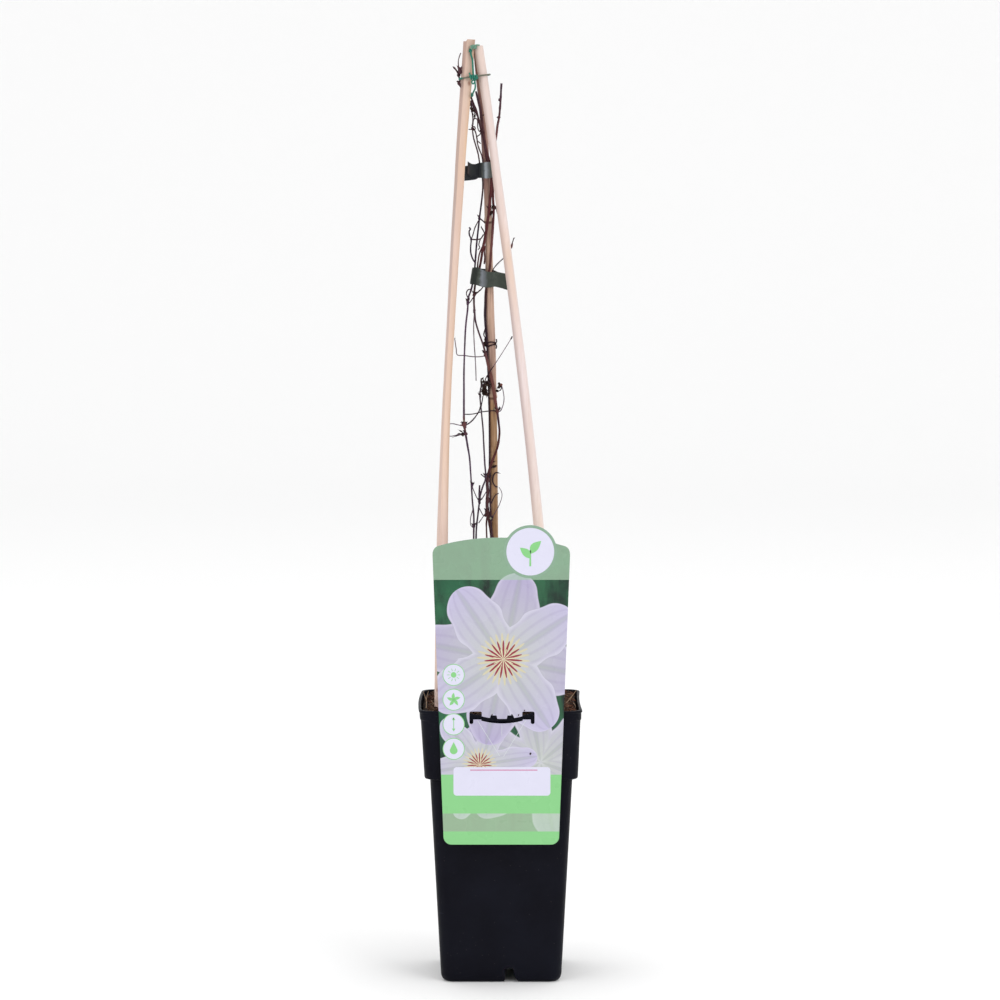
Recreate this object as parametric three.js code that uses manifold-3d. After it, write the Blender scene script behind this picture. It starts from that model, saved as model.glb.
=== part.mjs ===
// A dormant clematis tied to a trellis of three leaning canes, in its tall square pot.
// Millimetres, +Z up. The origin is at the foot of the pot, under its middle, and -Y is the front.

import * as THREE from 'three';
import { mergeVertices } from 'three/addons/utils/BufferGeometryUtils.js';
import Module from 'manifold-3d';

const wasm = await Module();
wasm.setup();

// ---------------------------------------------------------------- driving dimensions

const GAP = 0.3; // clearance between pieces that touch

const RIM_Z = 210.5; // top of the pot
const RIM_HALF = 60.4; // half the width over the rim lip
const COLLAR_FOOT_Z = 158; // underside of the collar
const COLLAR_FOOT_HALF = 57;
const BODY_TOP_HALF = 52.9; // body just under the collar
const BODY_FOOT_HALF = 45.2; // body just above the rounded bottom edge
const POT_CORNER = 9.5; // corner radius seen from above
const POT_WALL = 1.6;
const FLOOR_Z = 9; // underside of the raised floor
const FLOOR_THICKNESS = 2;
const NOTCH = { foot: 12.5, top: 6, height: 8.6, offset: 6 }; // drainage channel in each side of the foot
const DRAIN = { radius: 3.5, spread: 24 };
const DIP = { depth: 3.2, flat: 17, end: 27 }; // shallow dip in the front rim, for the label

const BOW = { left: 1.9, right: 1 }; // how far the rim's left side bows out, and its right side in

const SOIL_Z = 208.7; // mean level of the compost
const SOIL_RELIEF = 0.6;
const SOIL_FRONT_DROP = 3; // it is lower behind the dip in the front rim

// The left stake is a rounded square turned by an angle; its half widths across are [height, half width].
const LEFT_STAKE = {
  halfDepth: 3.6, exponent: 4, turn: 0.4,
  halfWidths: [
    [208, 4.4], [341, 4.2], [366, 3.9], [412, 3.35], [457, 3.05], [502, 3.1], [562, 3.5], [630, 3.85], [676, 4.25], [713, 4.45],
  ],
  sawnTop: [[-32, 712.6], [-26.2, 712.6], [-25.1, 714.1], [-18, 713.7]], // its top edge, as [across, height]
};
const RIGHT_STAKE = {
  radii: [[208, 4.1], [351, 3.9], [366, 3.85], [412, 3.65], [480, 3.7], [517, 3.4], [562, 3.55], [709, 3.6]],
  sawnTop: [[-24, 708.7], [-13.4, 708.4], [-10, 706.9]],
};
const BAMBOO_RADIUS = { top: 2.65, foot: 3 };
const BAMBOO_NODES = [292, 442, 577]; // heights of the bamboo's node rings
const CANE_FOOT_Z = 130;
const STEM_FOOT_Z = 188;

const SHOOT_TAPER = 0.9; // a shoot's tip radius over its foot radius
const TAPE_THICKNESS = 0.6;
const WIRE_RADIUS = 0.7;

const LABEL = {
  back: -RIM_HALF - GAP, thickness: 0.6, centre: 0.7,
  footZ: 108.5, footHalf: 42.8, shoulderZ: 329, shoulderHalf: 51.2, crownZ: 341.8, corner: 6,
};
const BADGE = { x: 22.1, z: 331.2, radius: 20 };
const SLOT = {
  centre: 0.95, boxOuter: 24.5, boxInner: 15.2, boxTop: 210.4, boxFoot: 204.3, legWidth: 2.9, legFoot: 200.8,
  bandTop: 206.8, bandSag: 2, bandHeight: 3.5, bumpX: 6.3, bumpRadius: 2.4, bumpZ: 206.3,
};
const HOOK = { halfWidth: 7, thickness: 0.6, footZ: 199 };

// ---------------------------------------------------------------- small tools

/** A repeatable random number source. */
function seeded(seed) {
  let state = seed;
  return (low, high) => {
    state = (state * 1664525 + 1013904223) % 4294967296;
    return low + (high - low) * (state / 4294967296);
  };
}

/** Turns a closed geometry into a solid that can be joined and cut. */
function solid(geometry) {
  const bare = new THREE.BufferGeometry();
  bare.setAttribute('position', geometry.attributes.position);
  if (geometry.index) bare.setIndex(geometry.index);
  const merged = mergeVertices(bare, 1e-4);
  return new wasm.Manifold(new wasm.Mesh({
    numProp: 3,
    vertProperties: new Float32Array(merged.attributes.position.array),
    triVerts: new Uint32Array(merged.index.array),
  }));
}

/** Turns a solid back into a three.js geometry. */
function geometry(body) {
  const mesh = body.getMesh();
  const result = new THREE.BufferGeometry();
  result.setAttribute('position', new THREE.BufferAttribute(new Float32Array(mesh.vertProperties), 3));
  result.setIndex(new THREE.BufferAttribute(new Uint32Array(mesh.triVerts), 1));
  result.computeVertexNormals();
  return result;
}

const join = (bodies) => bodies.reduce((whole, body) => whole.add(body));

/** The largest of the separate pieces of a solid: crumbs that a cut has set loose are left out. */
const largest = (body) => body.decompose().reduce((a, b) => (a.volume() > b.volume() ? a : b));

/** A closed body skinned over rings of points, each ring counter-clockwise seen from above. */
function skin(rings) {
  const count = rings[0].length;
  const positions = rings.flat().flatMap((point) => [point.x, point.y, point.z]);
  const index = [];
  for (let ring = 0; ring + 1 < rings.length; ring++) {
    for (let i = 0; i < count; i++) {
      const next = (i + 1) % count;
      const low = ring * count;
      const high = low + count;
      index.push(low + i, low + next, high + next, low + i, high + next, high + i);
    }
  }
  const top = (rings.length - 1) * count;
  for (let i = 1; i + 1 < count; i++) {
    index.push(0, i + 1, i);
    index.push(top, top + i, top + i + 1);
  }
  const result = new THREE.BufferGeometry();
  result.setAttribute('position', new THREE.Float32BufferAttribute(positions, 3));
  result.setIndex(index);
  return solid(result);
}

/** A closed rod bent along a smooth route, its radius given by the way along, from 0 to 1, and the height. */
function rod(points, radiusAt, sides, stepsPerPoint = 1) {
  const curve = new THREE.CatmullRomCurve3(points, false, 'centripetal');
  curve.getUtoTmapping = (along) => along; // the rings then fall on the route's own points
  const steps = (points.length - 1) * stepsPerPoint;
  const frames = curve.computeFrenetFrames(steps, false);
  const result = new THREE.CylinderGeometry(1, 1, 1, sides, steps);
  const position = result.attributes.position;
  for (let i = 0; i < position.count; i++) {
    const step = Math.round((position.getY(i) + 0.5) * steps);
    const point = curve.getPointAt(step / steps);
    const radius = radiusAt(step / steps, point.z);
    point.addScaledVector(frames.normals[step], position.getX(i) * radius);
    point.addScaledVector(frames.binormals[step], -position.getZ(i) * radius);
    position.setXYZ(i, point.x, point.y, point.z);
  }
  return solid(result);
}

const taper = (start, end) => (along) => start + (end - start) * along;

/** A value read at a height from rows of [height, value], on straight lines between them. */
function byHeight(rows, z) {
  const above = rows.findIndex(([height]) => height >= z);
  if (above === 0) return rows[0][1];
  if (above < 0) return rows[rows.length - 1][1];
  const [lowZ, low] = rows[above - 1];
  const [highZ, high] = rows[above];
  return low + (high - low) * (z - lowZ) / (highZ - lowZ);
}

const girth = (rows) => (along, z) => byHeight(rows, z);

/** A lumpy bead, stretched by size = [x, y, z] half lengths and tipped by an angle about the Y axis. */
function bead(centre, size, tip = 0) {
  const result = new THREE.IcosahedronGeometry(1, 0);
  result.scale(...size);
  result.rotateY(tip);
  result.translate(centre.x, centre.y, centre.z);
  return solid(result);
}

/** A rounded square ring of points at a height. */
function squareRing(z, half, corner, cornerSteps = 4) {
  const ring = [];
  const side = half - corner;
  for (let quarter = 0; quarter < 4; quarter++) {
    const middle = (quarter + 0.5) * Math.PI / 2;
    const centre = new THREE.Vector3(Math.sign(Math.cos(middle)) * side, Math.sign(Math.sin(middle)) * side, z);
    for (let step = 0; step <= cornerSteps; step++) {
      const angle = (quarter + step / cornerSteps) * Math.PI / 2;
      ring.push(new THREE.Vector3(Math.cos(angle), Math.sin(angle), 0).multiplyScalar(corner).add(centre));
    }
    const run = new THREE.Vector3(-Math.sin(middle + Math.PI / 4), Math.cos(middle + Math.PI / 4), 0);
    ring.push(ring[ring.length - 1].clone().addScaledVector(run, side)); // the middle of the next side
  }
  return ring;
}

/** Moves a point with the slightly bowed left and right sides of the rim. */
function bow(point) {
  const rise = THREE.MathUtils.clamp((point.z - COLLAR_FOOT_Z) / (RIM_Z - COLLAR_FOOT_Z), 0, 1);
  const depth = Math.max(0, 1 - (point.y / RIM_HALF) ** 2);
  const reach = Math.abs(point.x / RIM_HALF) ** 3;
  point.x -= (point.x < 0 ? BOW.left : BOW.right) * rise * depth * reach;
  return point;
}

/** A skin over rounded square rings that bow with the pot's rim. */
const walls = (rings) => skin(rings.map((ring) => ring.map(bow)));

/** A flat shape drawn in X and Z, made solid from y = back towards -Y. */
function upright(shape, back, thickness) {
  const result = new THREE.ExtrudeGeometry(shape, { depth: thickness, bevelEnabled: false, curveSegments: 10 });
  result.rotateX(Math.PI / 2);
  result.translate(0, back, 0);
  return solid(result);
}

/** A box from its low corner to its high corner. */
function block(low, high) {
  const size = high.map((value, i) => value - low[i]);
  const result = new THREE.BoxGeometry(...size);
  result.translate(...low.map((value, i) => value + size[i] / 2));
  return solid(result);
}

// ---------------------------------------------------------------- the three canes

/** Depth of the back cane's axis at a height: it leans forwards and bows a little. */
const backCaneY = (z) => 43.3 - 0.02864 * z - 0.0000303 * z * z;

/** Points given as [across, height, distance in front of the back cane's axis]. */
const route = (points) => points.map(([x, z, forward]) => new THREE.Vector3(x, backCaneY(z) - forward, z));
const placed = (points) => points.map(([x, y, z]) => new THREE.Vector3(x, y, z));

const CANE_ROUTES = {
  left: placed([
    [-45.2, -33, CANE_FOOT_Z], [-46, -29, 208], [-44.2, -22.3, 341.4], [-42.2, -17.8, 411.8], [-40.2, -14.6, 457.1],
    [-37.7, -11.5, 502.5], [-34.3, -7.3, 562.5], [-31.8, -4.6, 600.3], [-30, -2.7, 630.5], [-26.6, 0, 675.9],
    [-23.6, 1.9, 716],
  ]),
  right: placed([
    [44.6, -32.5, CANE_FOOT_Z], [40.6, -28.9, 208], [28.9, -21.9, 345], [18.8, -15.4, 440], [7.2, -9.3, 535],
    [-3.1, -4.2, 613], [-12.8, 0.4, 686], [-16, 1.5, 711],
  ]),
  back: route([
    [-3.4, CANE_FOOT_Z, 0], [-4.2, 240, 0], [-5.1, 338, 0], [-5.6, 405, 0], [-6.9, 473, 0], [-8.4, 515, 0],
    [-9.4, 571, 0], [-10.7, 608, 0], [-13.6, 661, 0], [-17.1, 705.5, 0],
  ]),
};

/** The solid rod of a round cane, or the hole that it stands in. */
const caneRod = (make, points, radiusAt) => make(points, radiusAt, 12, 2);
const RIGHT_GIRTH = girth(RIGHT_STAKE.radii);
const BAMBOO_GIRTH = taper(BAMBOO_RADIUS.foot, BAMBOO_RADIUS.top);

/** The squared body of the left stake, or with a clearance the hole that it stands in. */
function squaredStake(clearance = 0) {
  const { exponent, turn, halfDepth, halfWidths } = LEFT_STAKE;
  const sides = 16;
  const section = [];
  for (let i = 0; i < sides; i++) {
    const angle = i / sides * Math.PI * 2;
    const reach = (Math.abs(Math.cos(angle)) ** exponent + Math.abs(Math.sin(angle)) ** exponent) ** (-1 / exponent);
    section.push(new THREE.Vector2(reach * Math.cos(angle + turn), reach * Math.sin(angle + turn)));
  }
  const span = Math.max(...section.map((corner) => corner.x));
  const curve = new THREE.CatmullRomCurve3(CANE_ROUTES.left, false, 'centripetal');
  const samples = curve.getPoints((CANE_ROUTES.left.length - 1) * 2);
  if (clearance > 0) samples[0].z -= clearance;
  return skin(samples.map((axis) => {
    const across = byHeight(halfWidths, axis.z) + clearance;
    const deep = halfDepth + clearance;
    return section.map(({ x, y }) => new THREE.Vector3(axis.x + x / span * across, axis.y + y / span * deep, axis.z));
  }));
}

/** Cuts a stake off along the line of its sawn top, given as [across, height]. */
function sawn(body, line) {
  const waste = [...line, [line[line.length - 1][0], 730], [line[0][0], 730]];
  return body.subtract(upright(new THREE.Shape(waste.map(([x, z]) => new THREE.Vector2(x, z))), 12, 24));
}

/** The bamboo cane, with a raised ring at each node. */
function bamboo(points) {
  const body = caneRod(rod, points, BAMBOO_GIRTH);
  const curve = new THREE.CatmullRomCurve3(points, false, 'centripetal');
  const samples = curve.getSpacedPoints(400);
  const rings = BAMBOO_NODES.map((height) => {
    const at = samples.findIndex((point) => point.z > height);
    const stretch = [samples[at - 2], samples[at], samples[at + 2]];
    return rod(stretch, (along) => 2.9 + 0.5 * Math.sin(Math.PI * along), 12);
  });
  return join([body, ...rings]);
}

// ---------------------------------------------------------------- the vine

// Each stem: its radii as [height, radius], its route from the compost upwards, as [across, height, distance
// in front of the back cane], and what grows on it. Shoots are thinner runs of the same points, each with its
// radius first. Beads are nodes, buds and dried tips: [across, height, forward, half lengths, tip angle].

const STEM_LEFT = {
  radii: [[188, 0.85], [400, 0.78], [560, 0.7], [600, 0.65], [623, 0.55], [666, 0.5]],
  main: [
    [-16.5, STEM_FOOT_Z, 23], [-17.5, 212, 22], [-19.5, 260, 16.5], [-21, 300, 12], [-20.8, 334, 9.4],
    [-20.8, 351, 9], [-21.7, 361, 9], [-23.2, 385, 9], [-24, 396, 9], [-25.5, 405, 9], [-27, 414, 9],
    [-28, 421, 9], [-28.2, 433, 9], [-28.2, 448, 9], [-28.1, 463, 9], [-27.6, 480, 9], [-26.7, 497, 8.8],
    [-25.2, 511, 8.5], [-25, 517.5, 8.3], [-22.7, 524, 8], [-21.3, 530, 7.6], [-20.3, 537, 7], [-19.5, 545, 6.7],
    [-18.3, 560, 6.6], [-16.2, 579, 6.6], [-14.3, 594, 6.6], [-13.6, 604, 6.5], [-14.3, 613, 6.3],
    [-16.1, 621.4, 6.2], [-17.2, 627.9, 6.2], [-18.9, 633.9, 6.2], [-20.7, 640.2, 6.2], [-21.4, 647, 6.2],
    [-21.1, 655, 6.2], [-22, 661, 6.2], [-22.4, 666, 6.2],
  ],
  shoots: [
    [0.5, [-28, 421, 9], [-33, 422, 11], [-37, 422.6, 20], [-39.3, 423.2, 35]],
    [0.5, [-27, 414, 9], [-31.5, 412.4, 11], [-36.5, 411.8, 22], [-39.6, 412.4, 35]],
    [0.5, [-28, 421, 9], [-25.6, 421.3, 9], [-22, 424, 8.9], [-18.7, 428, 8.7], [-16.6, 431.5, 8.6], [-15, 437, 8.5]],
    [0.5, [-22.2, 374, 9], [-20.6, 369.6, 8.9], [-18.8, 365.4, 8.7], [-17.8, 363.2, 8.7]],
    [0.42, [-21.5, 355, 9], [-23.1, 349.2, 9], [-23.3, 344.8, 9], [-22.6, 342.4, 9], [-20.9, 342.4, 9.1]],
    [0.42, [-22.4, 525, 8], [-25, 524.4, 8.2], [-26.2, 521.9, 8.3], [-25.6, 519.4, 8.3], [-24.8, 518, 8.3]],
    [0.42, [-25, 514, 8.4], [-23.8, 514.6, 8.4], [-21.8, 517.4, 7.8], [-20.6, 519.2, 7.2]],
    [0.55, [-16.2, 579, 6.6], [-14.9, 578, 6.8], [-12.9, 576.3, 6.8], [-12, 575.2, 6.8]],
    [0.42, [-16.4, 578, 6.6], [-19.5, 572.2, 6.8], [-21.3, 566, 7], [-22.5, 563, 7]],
    [0.62, [-19.5, 545, 6.7], [-21.1, 547.5, 7], [-22.6, 551.5, 7], [-23, 556.5, 7], [-22.6, 563, 7],
      [-23.9, 566.4, 7], [-24, 569.2, 7], [-23.1, 570.8, 7], [-24.2, 572, 7]],
    [0.5, [-22.6, 563, 7], [-19, 562.7, 6.9], [-15.2, 563.5, 7.1], [-13.5, 566, 7.1], [-12.5, 567, 7.1],
      [-13.5, 570, 7.1], [-14.5, 571.5, 7.1]],
    [0.42, [-15.2, 563.5, 7.1], [-16.2, 561.2, 7], [-16.7, 558.4, 7], [-16, 556.8, 7], [-17.2, 555, 6.9]],
    [0.42, [-20.8, 647, 6.2], [-22.4, 646.2, 6.4], [-24.4, 646.4, 6.6]],
    [0.42, [-21, 653, 6.2], [-18.6, 654, 8.2], [-18, 648.5, 8.4], [-15.8, 644.4, 8.6]],
    [0.55, [-14, 611, 6.3], [-13.4, 618, 7.8], [-14.3, 626, 7.8], [-16.4, 631.5, 7.6], [-17.5, 635, 7.4], [-18.2, 640.2, 7],
      [-19.3, 644.6, 6.8], [-20.8, 647.2, 6.4]],
  ],
  beads: [
    [-27.9, 421, 9, [1.9, 1.3, 1.6], 0], [-27, 414, 9, [1.4, 1.1, 1.3], 0], [-21.9, 374.5, 9, [1.1, 0.9, 2.2], 0.1],
    [-20.8, 342.5, 9.2, [1.4, 1.1, 1.6], 0], [-19.8, 343.6, 9.3, [0.8, 0.7, 1.2], 0.5],
    [-25.1, 515, 8.4, [1.3, 1, 2.8], 0], [-16.3, 578.8, 6.6, [1.1, 0.9, 1.6], 0], [-20.8, 647, 6.3, [1.6, 1.3, 1.6], 0],
    [-30.2, 414.2, 9.2, [2.9, 0.8, 1.1], 0], [-34, 414, 9.4, [2.6, 0.6, 0.6], 0.12], [-29.2, 416, 9.1, [0.6, 0.6, 2], -0.4],
    [-21.8, 660.6, 6.3, [1, 0.8, 1.4], 0.3], [-20.8, 657.4, 6.8, [0.9, 0.7, 1.5], -0.5],
  ],
};

const STEM_INNER = {
  radii: [[188, 0.8], [452, 0.58]],
  main: [
    [-13.5, STEM_FOOT_Z, 20.5], [-14, 212, 19.5], [-16.5, 260, 13.5], [-18.6, 300, 9.2], [-19, 333.5, 6.9],
    [-18.4, 344, 6.9], [-17.4, 352.5, 6.9], [-16.4, 361, 6.9], [-16, 365, 6.9], [-15, 369, 6.9], [-13.6, 373.5, 7.2],
    [-11.9, 378, 7.9], [-11.6, 382, 8], [-12.2, 390.5, 7.5], [-12.8, 401, 7], [-13.6, 417, 7], [-14.8, 430.5, 7],
    [-15.4, 436, 6.8], [-15.9, 445, 6.2], [-14.6, 450.5, 5.8], [-12.4, 452.3, 5.4],
  ],
  shoots: [
    [0.75, [-16.4, 361, 6.9], [-16.5, 366.5, 6.9], [-16.2, 374, 6.9]],
    [0.42, [-16.9, 357, 6.9], [-15.4, 354, 6.9], [-13.8, 351, 6.9], [-13.2, 350.2, 6.9]],
    [0.42, [-13.6, 443, 5.9], [-14.3, 438.5, 6.4], [-15.2, 433.5, 6.9]],
    [0.55, [-14.7, 450.6, 5.8], [-15, 453, 5.8], [-14.9, 456.5, 5.9]],
    [0.5, [-12.6, 452.5, 5.6], [-11.4, 456.5, 6.4], [-9.6, 459.8, 6.9], [-8, 462.2, 7], [-3.4, 469, 6.9],
      [3.1, 479.2, 7.2], [7, 485.4, 8.4], [9, 488.6, 9.6]],
  ],
  beads: [
    [-16.4, 361, 6.9, [1.2, 1, 2], 0], [-12.7, 449.5, 5.3, [1.6, 0.9, 3.2], 0.35], [-11.6, 446.5, 5, [1.4, 0.8, 3], -0.3],
    [-12.9, 444.6, 5.4, [1.7, 0.8, 1.4], 0.7], [-11.4, 451.5, 5.1, [1.2, 0.8, 2.4], 0.8], [-14.6, 451, 5.8, [1, 0.9, 1.8], 0.2],
    [-15.7, 442.5, 6.3, [0.9, 0.8, 2.4], 0.1], [9, 488.6, 9.6, [1.2, 0.7, 0.7], -0.5],
  ],
};

const STEM_MAIN = {
  radii: [
    [188, 1.35], [350, 1.35], [380, 1.15], [392, 0.95], [431, 0.95], [444, 1.3], [459, 1.3], [475, 1.1], [507, 0.9],
    [530, 0.8], [545, 0.9], [560, 1.05], [600, 1.05], [612, 0.95], [640, 1.05], [662, 0.95], [675, 0.7],
  ],
  main: [
    [-9, STEM_FOOT_Z, 14.5], [-8.5, 212, 13.5], [-7, 260, 8.6], [-6.5, 300, 5.6], [-6.8, 333, 5], [-8, 342, 5],
    [-9.5, 350.5, 5], [-11, 357, 5], [-10.8, 364, 5], [-10.1, 369, 5], [-10.4, 375.5, 5], [-10.1, 380, 5.1],
    [-8.7, 386, 5.4], [-6.7, 392, 5], [-4.1, 398.5, 4.8], [-2, 405.5, 4.8], [-1, 415, 4.6], [-1.6, 422, 4.6],
    [-2.7, 431, 4.6], [-3.9, 438, 4.7], [-4.9, 444, 4.8], [-5.9, 450, 4.8], [-7.6, 459, 4.9], [-9.8, 467.5, 5],
    [-11.6, 475, 5], [-13.3, 481.5, 5], [-17.4, 493.5, 5], [-19.4, 501, 5], [-20, 507, 5], [-20.5, 515, 4.9],
    [-20.3, 521, 4.7], [-19.4, 529, 4.6], [-18, 535, 4.6], [-16.1, 541.5, 4.6], [-14.8, 548.5, 4.6], [-13.6, 556, 4.6],
    [-11.6, 566, 4.6], [-10.2, 576, 4.6], [-9, 585, 4.6], [-8.3, 595, 4.6], [-7.7, 603, 4.6], [-7.5, 612, 4.6],
    [-8.6, 623, 4.4], [-10, 631, 4.3], [-11.6, 640, 4.3], [-12.9, 648, 4.3], [-14.1, 655, 4.3], [-15.5, 662, 4.3],
    [-17.3, 668.5, 4.3], [-18.9, 675, 4.3],
  ],
  shoots: [
    [0.7, [-12, STEM_FOOT_Z, 13.5], [-12, 212, 12], [-11.6, 260, 8], [-11, 300, 6], [-10.8, 333, 5.3], [-11, 345, 5], [-10.2, 352, 5]],
    [0.42, [-10.3, 379, 5.1], [-12, 379.8, 5.3], [-15.3, 382.4, 5.4]],
    [0.42, [-8, 388, 5.3], [-6, 387.4, 4], [-4.6, 387.9, 3.8], [-3, 389, 3.8]],
    [0.42, [-10.1, 369.6, 5], [-11.2, 368.6, 5.1], [-13, 365.6, 5.2], [-14.8, 362.6, 5.1]],
    [0.42, [-10.6, 354, 5], [-12.9, 350.4, 4.9], [-15.3, 346.9, 4.9], [-17, 344.4, 4.8]],
    [0.5, [-2.7, 431, 4.6], [-0.6, 430.4, 4.6], [1.4, 434.1, 4.6], [2.4, 439.4, 4.6], [2.1, 444.5, 4.4], [0.4, 451.2, 4.2], [-0.8, 452, 4]],
    [0.42, [0.4, 451.2, 4.2], [0.6, 448.8, 4.3], [-0.6, 447, 4.3], [-2.6, 446.4, 4.2], [-4.8, 446.4, 4.6]],
    [0.42, [-2.7, 431, 4.6], [-5, 431.4, 5], [-9.1, 431.2, 5.2], [-14.6, 430.4, 5.1], [-18.7, 429.5, 5.6],
      [-23.5, 428.4, 7.2], [-26.6, 428.3, 8.6]],
    [0.42, [-11.6, 474, 5], [-14, 473.3, 5.2], [-18.7, 473, 5.8], [-23.5, 473.4, 6.8], [-28, 474.1, 7.4], [-33, 474.6, 9.5],
      [-34, 479.7, 15], [-35, 487.5, 21]],
    [0.66, [-20.1, 508, 5], [-20.7, 497, 5.4], [-20.3, 483, 5.6], [-19.6, 473, 5.8], [-19.1, 463, 5.8], [-18.9, 454.7, 5.8]],
    [0.42, [-20, 519.5, 4.8], [-18.4, 521.6, 5], [-15, 524.8, 6.2], [-11, 530, 7.2], [-7.5, 536, 7.2], [-5.4, 540.6, 6.8],
      [-3.6, 543, 6.8], [-1.3, 545.4, 6.8], [2.5, 549, 7], [8, 557.2, 7.4], [8.4, 560, 7.6], [9, 562.8, 7.8], [10.4, 565.4, 8]],
    [0.62, [-17.6, 533, 4.8], [-17.8, 540, 4.8], [-17.3, 546, 4.8], [-16.2, 552, 4.8], [-14.2, 557, 4.7]],
    [0.75, [-8.1, 620, 4.5], [-5.6, 628, 6.4], [-3.4, 641, 8], [-2.6, 648, 7.9], [-1.2, 656, 7.6], [-0.3, 666, 7], [0.5, 681, 6.2]],
  ],
  beads: [
    [-10.6, 352.5, 5, [1.6, 1.35, 2.6], 0], [-11.6, 350.4, 5, [1, 0.8, 1.3], 0.4], [-10.2, 378.5, 5.1, [1.6, 1.25, 3.2], 0],
    [-10.6, 362, 5, [1.5, 1.4, 4], 0], [-2.6, 431, 4.7, [1.5, 1.2, 2], 0], [-0.8, 432.2, 4.7, [1, 0.8, 1], 0.6],
    [-11.7, 475, 5, [1.3, 1.1, 2], 0.3], [-13.2, 477, 5.2, [0.7, 0.6, 1.4], -0.7], [-20.3, 520.5, 4.8, [1.2, 1, 2], 0],
    [-17.6, 522.4, 5.1, [1.5, 0.7, 0.7], -0.8], [-20.2, 508.5, 5, [1, 0.9, 2.2], 0], [8.3, 558, 7.5, [0.7, 0.7, 2.6], 0],
    [-8.9, 586, 4.7, [1, 0.9, 1.6], 0], [-2.7, 655.6, 7.7, [1.3, 0.7, 0.9], 0], [-0.9, 668.6, 7, [0.8, 0.7, 1.6], 0.1],
    [0.4, 451.4, 4.2, [1.1, 0.7, 1], 0.4], [-2.9, 446.5, 4.3, [1.3, 0.6, 0.8], 0.2], [-4.4, 388.2, 3.9, [1.9, 0.6, 1], 0.25],
  ],
};

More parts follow.
